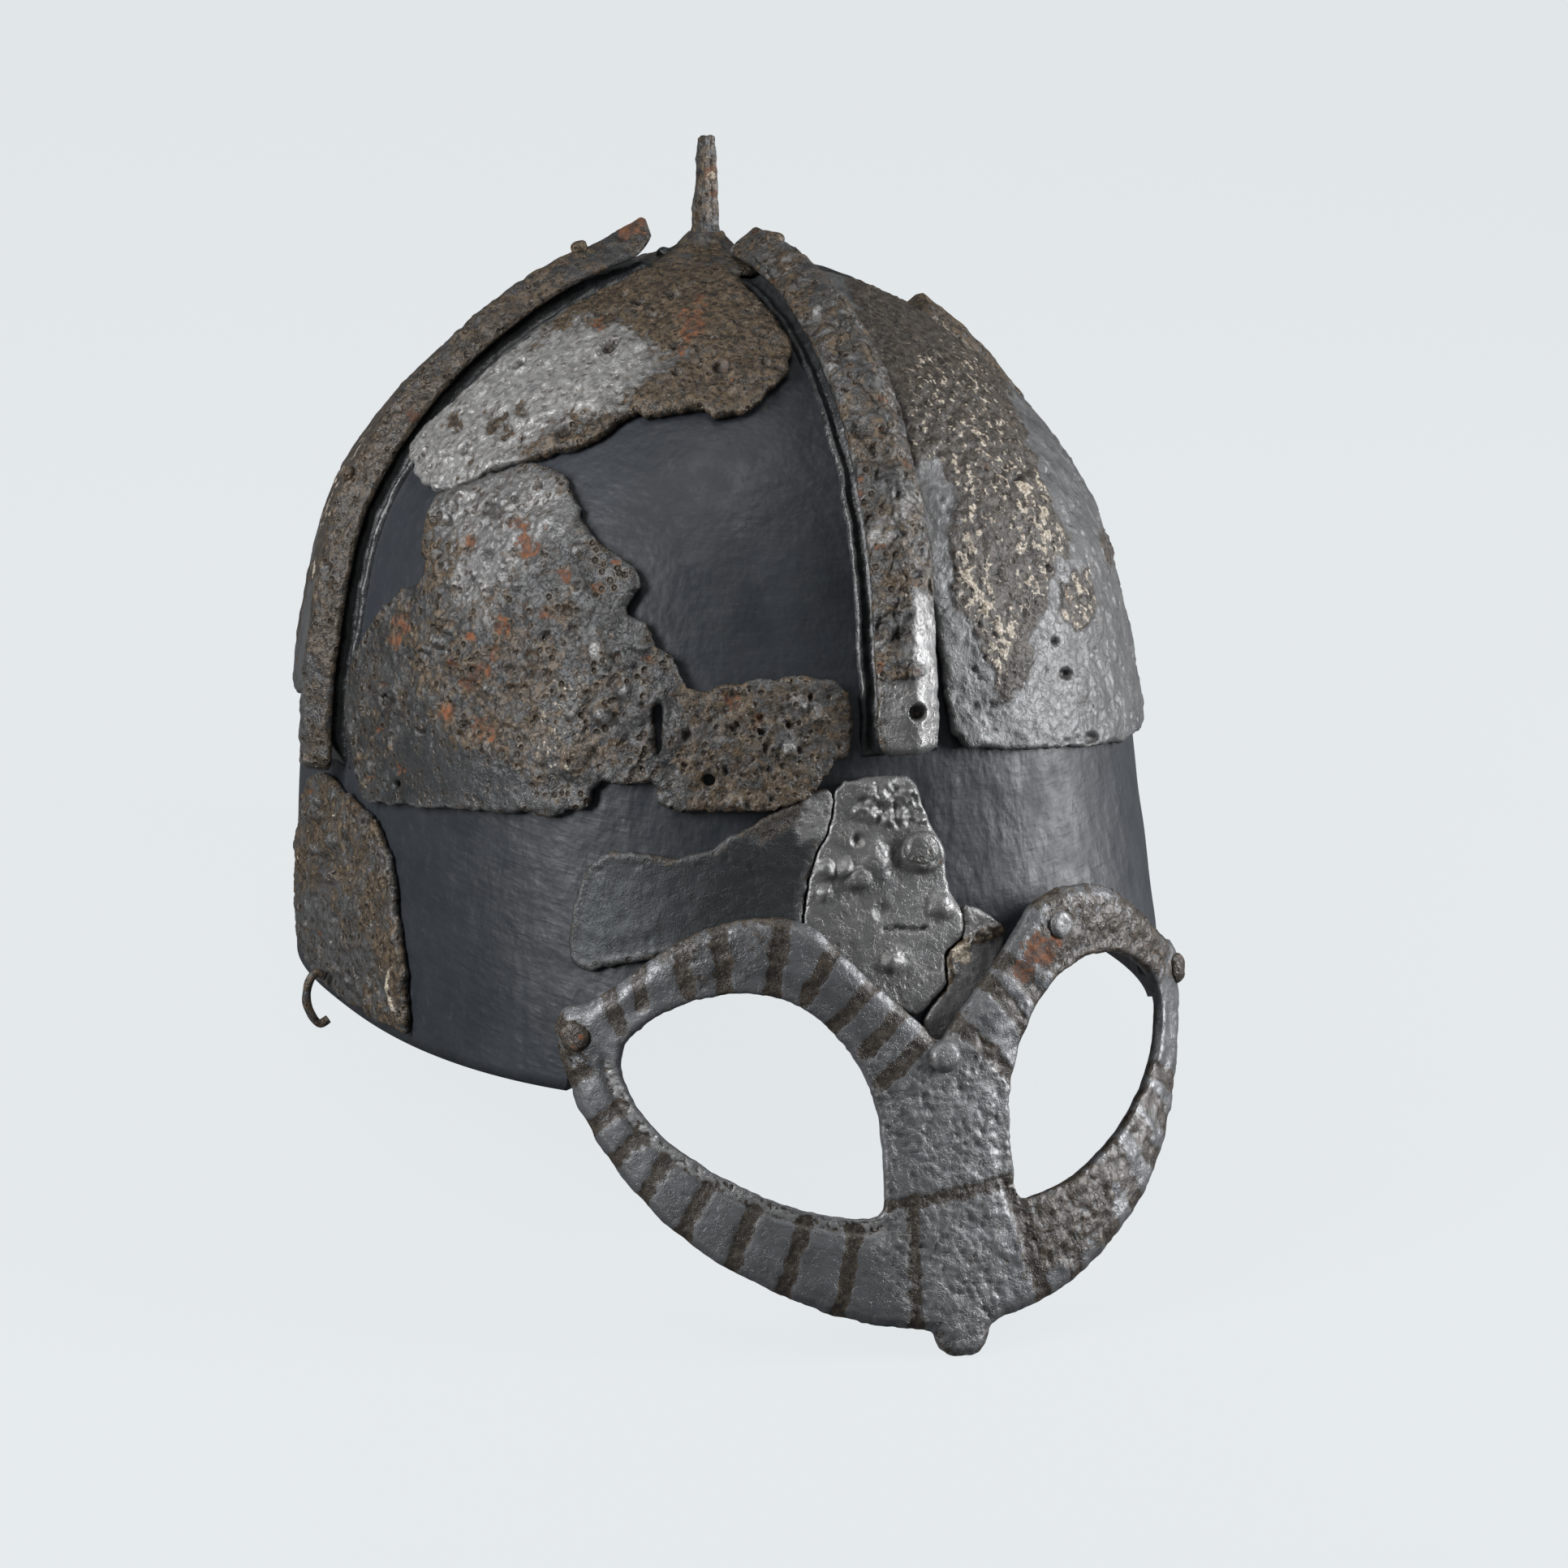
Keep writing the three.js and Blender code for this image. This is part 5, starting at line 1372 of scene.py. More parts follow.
def band_edge(middle, shift, seed):
    return 0.32 * noise(middle + shift, 6.0, seed) + 0.22 * noise(middle + shift, 2.0, seed + 1)


def build_band(name, look, spacing, lift, high, tip):
    """A band along its line. lift raises it off its rib, high ends it early, and tip narrows its end."""
    _, start, end, _ = BANDS[name]
    shares, length = even_shares(name, start, high or end, spacing)
    section = []
    for a, b in zip(np.array(BAND_SECTION[:-1]), np.array(BAND_SECTION[1:])):
        section += [a, (a + b) / 2]
    section = np.array(section + [BAND_SECTION[-1]])
    upper = np.concatenate([section * [-1, 1], section[::-1][1:]])
    count = len(shares)
    run = np.linspace(0, length, count)
    middle, middle_normal = band_place(name, shares)
    raised = middle_normal * (lift(run, length) if lift else np.zeros(count))[:, None]
    edges = band_edge(middle, 0, 401), band_edge(middle, 40, 403)
    from_end = np.minimum(run, length - run)
    narrow = 1 - 0.35 * (1 - np.clip(from_end / 3.2, 0, 1)) ** 2
    sink = 1.3 * (1 - np.clip(from_end / 1.6, 0, 1)) ** 2
    if tip:
        narrow = narrow * (1 - 0.55 * np.clip((run - length + tip) / tip, 0, 1) ** 1.5)
    rings, mask_lists = [], {key: [] for key in MASK_NAMES}
    for a, h in upper:
        ragged = edges[0] if a < 0 else edges[1]
        across = a * BAND_HALF_WIDTH * narrow + np.sign(a) * ragged * min(1.0, abs(a) * 1.5)
        surface, normal = band_place(name, shares, across)
        body = BAND_EDGE * min(h * 2.4, 1.0) + (BAND_CREST - BAND_EDGE) * max(0.0, (h - 0.42) / 0.58) ** 1.15
        height = BAND_SEAT + np.maximum(body - sink * min(1.0, h * 3), 0.0)
        relief, masks = look(surface, to_photo(surface + normal * height[:, None]), a)
        rings.append(surface + normal * (height + relief * min(1.0, h * 3))[:, None] + raised)
        for key in MASK_NAMES:
            mask_lists[key].append(masks.get(key, 0.0) * np.ones(count))
    for a in BAND_UNDERSIDE:
        surface, normal = band_place(name, shares, a * BAND_HALF_WIDTH * narrow)
        rings.append(surface + normal * BAND_SEAT + raised)
    points, faces = tube(np.stack(rings, 1))
    masks = {}
    for key, values in mask_lists.items():
        stack = np.stack(values + [np.zeros(count)] * len(BAND_UNDERSIDE), 1)
        masks[key] = np.concatenate([stack.reshape(-1), stack[0, :1], stack[-1, :1]])
    return points, outward_faces(points, faces), masks


FRONT_SMOOTH = [(1086, 844), (1130, 838), (1136, 820), (1124, 800), (1130, 727), (1147, 735), (1156, 785),
                (1168, 931), (1165, 952), (1095, 955)]
FRONT_KNOBS = [(1124, 823, 17), (1104, 812, 10), (1098, 590, 12), (1120, 752, 8), (1030, 455, 14)]
FRONT_DEEP = [(1112, 786, 12), (1000, 400, 12), (1075, 640, 9), (955, 330, 8), (1060, 530, 10)]
FRONT_HOLE = [(1131, 878, 9)]


def look_front(surface, photo, a):
    smooth = area(warp(photo, surface, 6, 3, 411), FRONT_SMOOTH, 6)
    lumps = round_lumps(surface, 5.0, 0.6, 0.6, 413)
    hollows = pits(surface, 3.6, 0.42, 415)
    small = pits(surface, 1.8, 0.35, 417)
    knob = spots(photo, FRONT_KNOBS, 0.5)
    deep = spots(photo, FRONT_DEEP, 0.5)
    # The rivet hole is only a dent; painted shade darkens it through the hollow mask
    hole = spots(photo, FRONT_HOLE, 0.3)
    rough = (0.55 * lumps + 0.35 * layered(surface, 4, 3, 419) - 0.8 * hollows - 0.35 * small + 0.9 * knob
             - 1.0 * deep)
    wave = 0.5 * layered(surface, 16, 2, 421)
    ripple = 0.12 * noise(surface, 2.5, 423)
    bend = np.stack([noise(surface, 3, 450 + k) for k in range(3)], 1)
    first, second, _ = cells(surface + 0.8 * bend, 7.0, 453)
    crack = (1 - step_up(second - first, 0.02, 0.09)) * (1 - smooth)
    high = rough * (1 - smooth) + smooth * ripple + wave - 0.5 * crack - 2.6 * hole
    # A painted highlight down the right side of the band's smooth lower end, and painted shade, as more brown,
    # on its other side
    side_light = step_up(photo[:, 0] - 0.18 * (photo[:, 1] - 880), 1112, 1150)
    brown = (1 - smooth) * np.clip(0.46 + 0.4 * layered(surface, 5, 4, 425), 0, 1)
    bare_metal_and_highlight = (1 - smooth) * (0.06 + step_up(layered(surface, 9, 3, 427), 0.0, 0.5) * 0.5) * (1 - hollows)
    sunken = (0.5 * step_up(hollows, 0.5, 1) + 0.7 * step_up(deep, 0.4, 1)) * (1 - smooth)
    return high, {"brown": brown + smooth * 0.25 * (1 - side_light),
                  "bare_metal_and_highlight": bare_metal_and_highlight + smooth * (0.26 + 0.2 * side_light), "smooth": smooth * 0.8,
                  "rust": (1 - smooth) * step_up(layered(surface, 5, 3, 429), 0.4, 0.8) * 0.6,
                  "hollow": hole + crack * 0.5 + sunken}


RIGHT_ORANGE = [(790, 285, 17), (775, 292, 12), (510, 512, 8), (470, 605, 6)]


def look_right(surface, photo, a):
    share = surface[:, 2] / SHELL_HEIGHT
    low = step_up(photo[:, 1], 770, 840)
    hollows = pits(surface, 3.4, 0.4, 433)
    small = pits(surface, 1.7, 0.35, 435)
    orange = spots(warp(photo, surface, 4, 2.5, 431), RIGHT_ORANGE, 0.6)
    high = 0.6 * layered(surface, 5, 4, 437) - 0.8 * hollows * (1 - 0.6 * low) - 0.35 * small
    brown = 0.58 + 0.35 * layered(surface, 7, 3, 439) - 0.25 * low
    bare_metal_and_highlight = step_up(-a, 0.1, 0.9) * 0.25 * (1 - low) * (1 - hollows) + 0.15 * low
    dark = step_up(a, 0.15, 0.7) * (1 - step_up(share, 0.9, 0.95))
    return high, {"brown": np.clip(brown + 0.3 * dark, 0, 1), "bare_metal_and_highlight": bare_metal_and_highlight * (1 - dark), "rust": orange,
                  "smooth": 0.2 * low, "hollow": 0.22 + 0.4 * step_up(hollows, 0.5, 1) + 0.3 * dark}


def look_rear(surface, photo, a):
    hollows = pits(surface, 3.8, 0.4, 441)
    high = 0.5 * layered(surface, 5, 3, 443) - 0.7 * hollows
    brown = 0.6 + 0.35 * layered(surface, 9, 3, 445)
    rust = step_up(layered(surface, 6, 3, 447), 0.4, 0.8)
    return high, {"brown": brown, "bare_metal_and_highlight": 0.25 * (1 - hollows), "rust": rust * 0.8,
                  "hollow": 0.5 * step_up(hollows, 0.5, 1)}


def right_lift(run, length):
    """The right band comes away from its rib towards the crown and ends in a turned up tip."""
    return (RIGHT_BAND_LIFT * np.clip((run / length - 0.72) / 0.28, 0, 1) ** 1.5
            + 2.6 * np.clip((run - length + 9) / 9, 0, 1) ** 2)


# Domed heads and small pieces

HEAD_TURNS, HEAD_RINGS, HEAD_FOOT = 28, 10, 1.2


def head(place, normal, radius, height, seed, flat=0.5, rough=0.1):
    """A rivet head: a low dome on a short wall, roughened by noise."""
    normal = unit(np.asarray(normal, float))
    side = unit(np.cross(normal, [0.13, 0.31, 1.0]))
    other = np.cross(normal, side)
    angles = np.linspace(0, 2 * math.pi, HEAD_TURNS, endpoint=False)
    profile = [(1.0, -HEAD_FOOT), (1.0, 0.0), (1.0, height * 0.25)]
    for step in range(1, HEAD_RINGS):
        turn = step / HEAD_RINGS * math.pi / 2
        profile.append((math.cos(turn) ** flat, height * (0.25 + 0.75 * math.sin(turn))))
    profile.append((0.12, height))
    stack = []
    for out, rise in profile:
        spot = (np.asarray(place) + normal * rise + side * (radius * out * np.cos(angles))[:, None]
                + other * (radius * out * np.sin(angles))[:, None])
        wobble = rough * np.stack([noise(spot, radius * 0.7, seed + k) for k in range(3)], 1)
        stack.append(spot + wobble * (rise > 0))
    points, faces = tube(np.array(stack))
    return points, outward_faces(points, faces)


def guard_point(across, up):
    """A point on the guard's face and its normal, from shares of its half width and height."""
    x, z = across * GUARD_HALF_WIDTH, up * GUARD_HEIGHT - GUARD_DROP
    place = np.array([x, -guard_face(x, z), z])
    step = 0.1
    along = np.array([2 * step, -guard_face(x + step, z) + guard_face(x - step, z), 0])
    rise = np.array([0, -guard_face(x, z + step) + guard_face(x, z - step), 2 * step])
    return place, unit(np.cross(along, rise))


def dome_spot(bearing, share, rise):
    """A place over the dome and its normal, from degrees and a share of the height."""
    angle, part = np.array([math.radians(bearing)]), np.array([share])
    normal = dome_normal(angle, part)[0]
    return dome(angle, part)[0] + normal * rise, normal


SPIKE_ROWS, SPIKE_TURNS, SPIKE_TWIST, SPIKE_FOOT = 46, 40, math.radians(12), 2.0
SPIKE_RUST = [(877, 213, 9), (880, 240, 6)]
SPIKE_CRUST = [(876, 216, 5)]
SPIKE_HOLLOW = [(870, 172, 5)]


def build_spike():
    """The square stub on the crown, with a groove down its front."""
    base = SHELL_HEIGHT + CLEARANCE + CROWN_PATCH_HEIGHT - SPIKE_FOOT
    angles = np.linspace(0, 2 * math.pi, SPIKE_TURNS, endpoint=False)
    square = np.maximum(np.abs(np.cos(angles)), np.abs(np.sin(angles))) ** 0.82
    groove = np.exp(-((np.angle(np.exp(1j * (angles + math.pi / 2))) / 0.16) ** 2))
    rings = []
    for part in np.arange(SPIKE_ROWS) / (SPIKE_ROWS - 1):
        half = (SPIKE_BASE * (1 - part) + SPIKE_TIP * part) / 2
        half = half * (1 + 0.28 * math.exp(-part * 14)) * 0.92
        reach = half / square * (1 - 0.14 * groove)
        spot = np.stack([reach * np.cos(angles + SPIKE_TWIST), reach * np.sin(angles + SPIKE_TWIST),
                         np.full(SPIKE_TURNS, base + part * (SPIKE_HEIGHT + SPIKE_FOOT))], 1)
        spot[:, 0] += 0.5 * part
        wobble = np.stack([layered(spot, 3.0, 3, 541 + k) for k in range(3)], 1) * [0.35, 0.35, 0.2]
        if part == 1:
            wobble[:, 2] += 0.6 * noise(spot, 3.0, 545)
        rings.append(spot + wobble)
    points, faces = tube(np.array(rings))
    photo = to_photo(points)
    masks = {"brown": 0.55 + 0.4 * layered(points, 4, 3, 547), "rust": spots(photo, SPIKE_RUST, 0.7),
             "crust": spots(photo, SPIKE_CRUST, 0.8), "hollow": spots(photo, SPIKE_HOLLOW, 0.8),
             "bare_metal_and_highlight": 0.3 * step_up(noise(points, 3, 549), 0.1, 0.6)}
    add_piece("visual_crown_spike", points, outward_faces(points, faces), masks, PITTED,
              ("crown_spike",))


# The patch's skirt from its underside to its top: share of the dome's height, rise over the dome.
PATCH_SKIRT = ((0.999, CLEARANCE), (0.9945, CLEARANCE), (0.988, CLEARANCE), (0.9865, 0.9), (0.9872, 1.8),
               (0.989, 2.3), (0.991, 2.6), (0.993, 2.9), (0.9945, 3.2), (0.996, 3.5))
PATCH_TURNS, PATCH_RINGS, PATCH_TOP_RADIUS = 96, 14, 3.9


def build_patch():
    """The crown's patch: a thin skirt that lies on the dome under the bands' ends and rises to the spike."""
    bearing = np.linspace(0, 2 * math.pi, PATCH_TURNS, endpoint=False) + math.pi / 2
    top = SHELL_HEIGHT + CLEARANCE + CROWN_PATCH_HEIGHT
    uneven = layered(dome(bearing, np.full(PATCH_TURNS, 0.988)), 8, 3, 565)
    rings = []
    for share, rise in PATCH_SKIRT:
        shares = np.full(PATCH_TURNS, share) + 0.0012 * uneven * (rise > 0.5)
        surface, normal = dome(bearing, shares), dome_normal(bearing, shares)
        rings.append(surface + normal * (rise + 0.3 * layered(surface, 4, 3, 551) * (rise > 0.5))[:, None])
    ring = rings[-1]
    for part in np.linspace(0.12, 1, PATCH_RINGS):
        height = ring[:, 2] * (1 - part) + top * part
        reach = np.hypot(ring[:, 0], ring[:, 1]) * (1 - part ** 0.55) + PATCH_TOP_RADIUS * part ** 0.55
        spot = np.column_stack([unit(ring[:, :2]) * reach[:, None], height])
        wobble = 0.5 * layered(spot, 4.0, 3, 567)
        spot[:, :2] += unit(spot[:, :2]) * wobble[:, None]
        rings.append(spot)
    points, faces = tube(np.array(rings))
    masks = {"brown": 0.55 + 0.4 * layered(points, 4, 3, 555),
             "rust": 0.6 * step_up(noise(points, 4, 557), 0.3, 0.7),
             "bare_metal_and_highlight": 0.35 * step_up(noise(points, 3, 559), 0.1, 0.6),
             "hollow": 0.5 * pits(points, 2.6, 0.4, 569)}
    add_piece("visual_crown_patch", points, outward_faces(points, faces), masks, PITTED,
              ("crown_patch",))


# Marks of the guard in photograph pixels: grooves from its outer edge to its eye, ledges and areas.
GROOVES = [
    (748, 1221, 763, 1262), (785, 1194, 790, 1235), (839, 1162, 847, 1218), (886, 1149, 893, 1213),
    (964, 1140, 952, 1218), (1031, 1164, 996, 1225), (1080, 1208, 1033, 1260), (1114, 1243, 1070, 1292),
    (1144, 1277, 1092, 1329), (699, 1331, 721, 1324), (712, 1400, 761, 1368), (741, 1439, 785, 1407),
    (780, 1493, 817, 1439), (829, 1542, 866, 1473), (896, 1576, 925, 1500), (962, 1603, 989, 1515),
    (1033, 1625, 1053, 1527), (1193, 1272, 1243, 1322), (1224, 1215, 1263, 1266), (1241, 1187, 1283, 1232),
    (1255, 1491, 1283, 1587), (1308, 1514, 1322, 1559), (1356, 1475, 1367, 1520), (1376, 1424, 1396, 1475),
    (1398, 1379, 1418, 1424), (1410, 1345, 1435, 1384), (1418, 1311, 1446, 1336),
]
LEDGE_RIGHT = [(739, 1316), (758, 1351), (793, 1395), (832, 1434), (881, 1464), (935, 1491), (989, 1508),
               (1043, 1515), (1077, 1513)]
LEDGE_LEFT = [(1249, 1469), (1294, 1455), (1334, 1429), (1367, 1396), (1396, 1356), (1413, 1317)]
NOSE_GROOVES = [[(1124, 1493), (1126, 1560), (1129, 1640)], [(1097, 1486), (1180, 1471), (1240, 1455)]]


GUARD_NOSE = [(1055, 1300), (1190, 1260), (1290, 1330), (1255, 1475), (1215, 1690), (1140, 1690), (1060, 1520)]
GUARD_ARM = [(1283, 1100), (1430, 1110), (1440, 1200), (1320, 1215), (1290, 1200)]
GUARD_PATCH = [(1262, 1470), (1320, 1445), (1372, 1430), (1370, 1520), (1300, 1560), (1262, 1570)]
GUARD_NODE = [(695, 1288, 34)]
GUARD_WORN = [(800, 1150), (880, 1112), (970, 1118), (990, 1165), (930, 1205), (830, 1235)]
GUARD_RUST = [(1278, 1172, 20), (1262, 1198, 12), (1300, 1160, 10)]


def guard_grooves(warped):
    """1 along the grooves hammered into the guard."""
    groove = np.zeros(len(warped))
    for u0, v0, u1, v1 in GROOVES:
        start, end = np.array([u0, v0], float), np.array([u1, v1], float)
        far = line_distance(warped, [start - 0.3 * (end - start), end + 0.1 * (end - start)])
        groove = np.maximum(groove, 1 - step_up(far, 6.5, 13.0))
    for line in NOSE_GROOVES:
        groove = np.maximum(groove, 0.75 - 0.75 * step_up(line_distance(warped, line), 5.0, 12.0))
    return groove


def guard_relief(points, photo, eye_far, outer_far):
    warped = warp(photo, points, 4, 2.0, 501)
    groove = guard_grooves(warped)
    along = np.minimum(line_distance(photo, LEDGE_RIGHT), line_distance(photo, LEDGE_LEFT))
    near_ledge = 1 - step_up(along, 10, 20)
    ledge = (1 - step_up(eye_far, 2.0, 2.7)) * step_up(eye_far, -0.2, 0.5) * near_ledge
    seam = (1 - step_up(np.abs(eye_far - 2.6), 0.15, 0.6)) * near_ledge
    nose = area(photo, GUARD_NOSE, 14)
    pebbles = round_lumps(points, 1.35, 1.0, 0.75, 505)
    arm = area(warped, GUARD_ARM, 16)
    patch = area(warped, GUARD_PATCH, 16)
    node = spots(warped, GUARD_NODE, 0.35)
    worn = area(warped, GUARD_WORN, 14)
    rough = np.maximum.reduce([arm * 0.85, patch, node, 0.4 * worn])
    speck = layered(points, 2.4, 3, 507, 0.6)
    right_part = step_up(photo[:, 0], 1130, 1200)
    bulge = 0.55 * step_up(np.minimum(eye_far - 2.6, outer_far), 0, 4.0)
    bevel = 0.9 * (1 - step_up(outer_far, 0.0, 1.8)) + 0.35 * (1 - step_up(eye_far, 0.0, 0.9))
    crackle = (1 - step_up(np.abs(noise(points, 1.5, 509)), 0.03, 0.14)) * ledge
    high = (bulge - bevel - 0.3 * groove * (1 - 0.5 * ledge) - 0.55 * ledge - 0.6 * seam - 0.25 * crackle
            + nose * 0.3 * (pebbles - 0.4) + 0.12 * layered(points, 5, 3, 511) + rough * 0.45 * speck
            - 0.25 * pits(points, 2.0, 0.16, 513) + 0.35 * right_part * layered(points, 4, 2, 515))
    rust = np.maximum(spots(warped, GUARD_RUST, 0.6), 0.12 * rough)
    brown = (0.95 * groove + 0.4 * arm + 0.35 * patch + 0.6 * rust + seam * 0.5 + crackle * 0.8
             + rough * step_up(speck, -0.5, 0.2) + 0.25 * nose * (1 - pebbles)
             + 0.35 * step_up(speck, 0.35, 0.7) * right_part + 0.3 * (1 - step_up(outer_far, 0.3, 1.5)))
    # A painted highlight runs along the crest of the bevel at the outer edge, and the nose's pebbles are
    # lightened as painted highlights
    bare_metal_and_highlight = (0.6 * ledge * (1 - crackle) + 0.3 * (1 - groove) * nose * pebbles
              + 0.12 * (1 - step_up(np.abs(outer_far - 2.0), 0.2, 1.2)))
    return high, {"brown": brown, "bare_metal_and_highlight": bare_metal_and_highlight, "rust": rust, "smooth": 0.75 - rough - 0.3 * nose,
                  "hollow": 0.35 * groove + 0.25 * seam, "crust": 0.2 * rough * step_up(speck, 0.4, 0.8)}


GUARD_SPACING = 0.6


def guard_slope(x, z):
    """How fast the guard's face falls back sideways."""
    step = 0.1
    return (-guard_face(x + step, z) + guard_face(x - step, z)) / (2 * step)


def build_guard():
    mirrored = [[-a, b] for a, b in GUARD_OUTER[1:-1]][::-1]
    outer = np.array(mirrored + [[0, GUARD_OUTER[0][1]]] + GUARD_OUTER[1:])
    outer = outer * [GUARD_HALF_WIDTH, GUARD_HEIGHT] - [0, GUARD_DROP]
    eye = np.array(GUARD_EYE) * [GUARD_HALF_WIDTH, GUARD_HEIGHT] - [0, GUARD_DROP]
    loops = []
    for loop in (outer, eye, eye * [-1, 1]):
        loop = subdivide(round_loop(loop, 2), GUARD_SPACING)
        place = np.stack([loop[:, 0], np.zeros(len(loop)), loop[:, 1]], 1)
        for axis in (0, 1):
            loop[:, axis] += 0.22 * noise(place, 4.0, 521 + axis) + 0.12 * noise(place, 1.4, 523 + axis)
        loops.append(tidy_loop(loop, GUARD_SPACING * 0.4))
    eyes = np.concatenate(loops[1:])

    def place(flat):
        x, z = flat[:, 0], flat[:, 1]
        points = np.stack([x, -guard_face(x, z), z], 1)
        slope = guard_slope(x, z)
        normal = unit(np.stack([slope, -np.ones(len(x)), np.full(len(x), GUARD_SLOPE)], 1))
        high, masks = guard_relief(points, to_photo(points), nearest(flat, eyes), nearest(flat, loops[0]))
        thin = GUARD_THICKNESS / np.sqrt(1 + slope ** 2) * 0.97
        return points, normal, -thin, np.maximum(high, -thin + 0.8), masks

    points, faces, masks = slab(loops, GUARD_SPACING, place, 531)
    add_piece("visual_spectacle_guard", points, faces, masks, GUARD, ("spectacle_guard",))


# Building all pieces

for fragment in FRAGMENTS:
    build_fragment(fragment)
build_shell()
build_guard()

# For each band: its rib's ends as shares of the height, its look, spacing, lift, own high end and tip.
BAND_BUILDS = {
    "front": (0.422, 0.985, look_front, 0.45, None, None, 0.0),
    "right": (0.335, 0.993, look_right, 0.5, right_lift, 0.9915, 9.0),
    "rear": (0.35, 0.985, look_rear, 0.9, None, 0.915, 0.0),
    "left": (0.35, 0.985, look_rear, 0.9, None, 0.9, 0.0),
}
for band, (rib_low, rib_high, *_) in BAND_BUILDS.items():
    rib_points, rib_faces, rib_masks = build_rib(band, rib_low, rib_high, 601)
    add_piece("visual_rib_" + band, rib_points, rib_faces, rib_masks, GLOSS,
              ("support_shell",))
for band, (_, _, *options) in BAND_BUILDS.items():
    band_points, band_faces, band_masks = build_band(band, *options)
    add_piece("visual_band_" + band, band_points, band_faces, band_masks, PITTED,
              ("band_" + band,))
build_spike()
build_patch()


def small_head(name, place, normal, radius, height, look, slot, **shape):
    points, faces = head(place, normal, radius, height, len(name), **shape)
    masks = {key: value * np.ones(len(points)) for key, value in look(points).items()}
    add_piece("visual_" + name, points, faces, masks, GUARD if slot == "guard_iron" else PITTED, (name,))


def guard_look(points):
    return {"smooth": 0.6, "brown": 0.35 * step_up(noise(points, 2, 561), 0.0, 0.5), "bare_metal_and_highlight": 0.25}


def brown_look(points):
    return {"brown": 0.75, "rust": 0.5 * step_up(noise(points, 2, 563), 0.2, 0.6), "bare_metal_and_highlight": 0.1}


# For each head on the guard: shares of the guard's half width and height, radius, height, and if it is worn.
for name, across, up, radius, height, worn in (
        ("guard_rivet_arch", 0.42, 0.915, 3.1, 1.5, False),
        ("guard_rivet_right", -0.95, 0.715, 3.4, 1.8, True),
        ("guard_rivet_left", 0.95, 0.715, 3.4, 2.0, True),
        ("guard_knob_nose", 0.0, 0.665, 3.4, 2.6, False)):
    spot, facing = guard_point(across, up)
    small_head(name, spot, facing, radius, height, brown_look if worn else guard_look, "guard_iron",
               rough=0.4 if worn else 0.2)

for name, bearing, share, radius, height in (("brow_rivet_large", 1.0, 0.3, 3.9, 2.3),
                                             ("brow_rivet_small", -6.2, 0.27, 2.3, 1.6)):
    spot, facing = dome_spot(bearing, share, CLEARANCE + BROW_THICKNESS)
    small_head(name, spot, facing, radius, height, guard_look, "pitted_iron", rough=0.2)

# For each head on a band: the band, share of the height, radius, height and extra lift.
for name, line, share, radius, height, extra in (
        ("band_front_rivet", "front", 0.985, 2.2, 1.6, 0.0),
        ("band_right_rivet_high", "right", 0.967, 1.9, 1.5, RIGHT_BAND_LIFT * 0.75),
        ("band_right_rivet_low", "right", 0.705, 1.9, 1.4, 0.0)):
    places, facings = band_place(line, [share])
    spot = places[0] + facings[0] * (BAND_SEAT + BAND_CREST - 0.3 + extra)
    small_head(name, spot, facings[0], radius, height, brown_look, "pitted_iron")

# The dark knob where the right band's channel ends below the crown
KNOB_SHARE, KNOB_RISE, KNOB_RADIUS, KNOB_HEIGHT = 0.9945, 1.2, 2.1, 3.4
places, facings = band_place("right", [KNOB_SHARE])
knob_points, knob_faces = head(places[0] + facings[0] * KNOB_RISE, facings[0], KNOB_RADIUS, KNOB_HEIGHT, 581,
                               flat=0.8, rough=0.25)
add_piece("visual_channel_knob", knob_points, knob_faces, {}, GLOSS, ("support_shell",))

# The hook of bent wire at the lower rim: its curve as shares of its reach and drop.
HOOK_BEARING, HOOK_SHARE = -88.0, 0.04
HOOK_WIRE, HOOK_REACH, HOOK_DROP = 2.0, 4.6, 11.0
HOOK_CURVE = [(0, 0), (0.45, 0.1), (0.9, -0.15), (1, -0.45), (0.75, -0.8), (0.3, -1), (-0.1, -0.92)]


def wire(line, radius, turns=12, seed=571):
    """A round wire along a line, bent smoothly through its points."""
    line = np.asarray(line, float)
    run = np.concatenate([[0], np.cumsum(np.linalg.norm(np.diff(line, axis=0), axis=1))])
    fine = np.linspace(0, run[-1], max(8, int(run[-1] / 0.5)))
    path = np.stack([smooth_curve(run, line[:, axis])(fine) for axis in range(3)], 1)
    tangent = unit(np.gradient(path, axis=0))
    side = unit(np.cross(tangent, [0.2, 1.0, 0.1]))
    other = np.cross(tangent, side)
    angles = np.linspace(0, 2 * math.pi, turns, endpoint=False)
    swell = radius * (1 + 0.12 * noise(path, 2.5, seed))
    rings = (path[:, None, :] + swell[:, None, None] * (side[:, None, :] * np.cos(angles)[None, :, None]
                                                        + other[:, None, :] * np.sin(angles)[None, :, None]))
    points, faces = tube(rings)
    return points, outward_faces(points, faces)


foot, facing = dome_spot(HOOK_BEARING, HOOK_SHARE, BROW_THICKNESS + 2 * CLEARANCE + HOOK_WIRE / 2)
out = unit(facing * [1, 1, 0])
hook_line = [foot + out * reach * HOOK_REACH + np.array([0, 0, drop * HOOK_DROP]) for reach, drop in HOOK_CURVE]
hook_points, hook_faces = wire(hook_line, HOOK_WIRE / 2)
hook_masks = {"brown": 0.6 + 0.3 * noise(hook_points, 3, 573),
              "rust": 0.4 * step_up(noise(hook_points, 2, 575), 0.2, 0.6)}
add_piece("visual_mail_hook", hook_points, hook_faces, hook_masks, PITTED, ("mail_hook",))

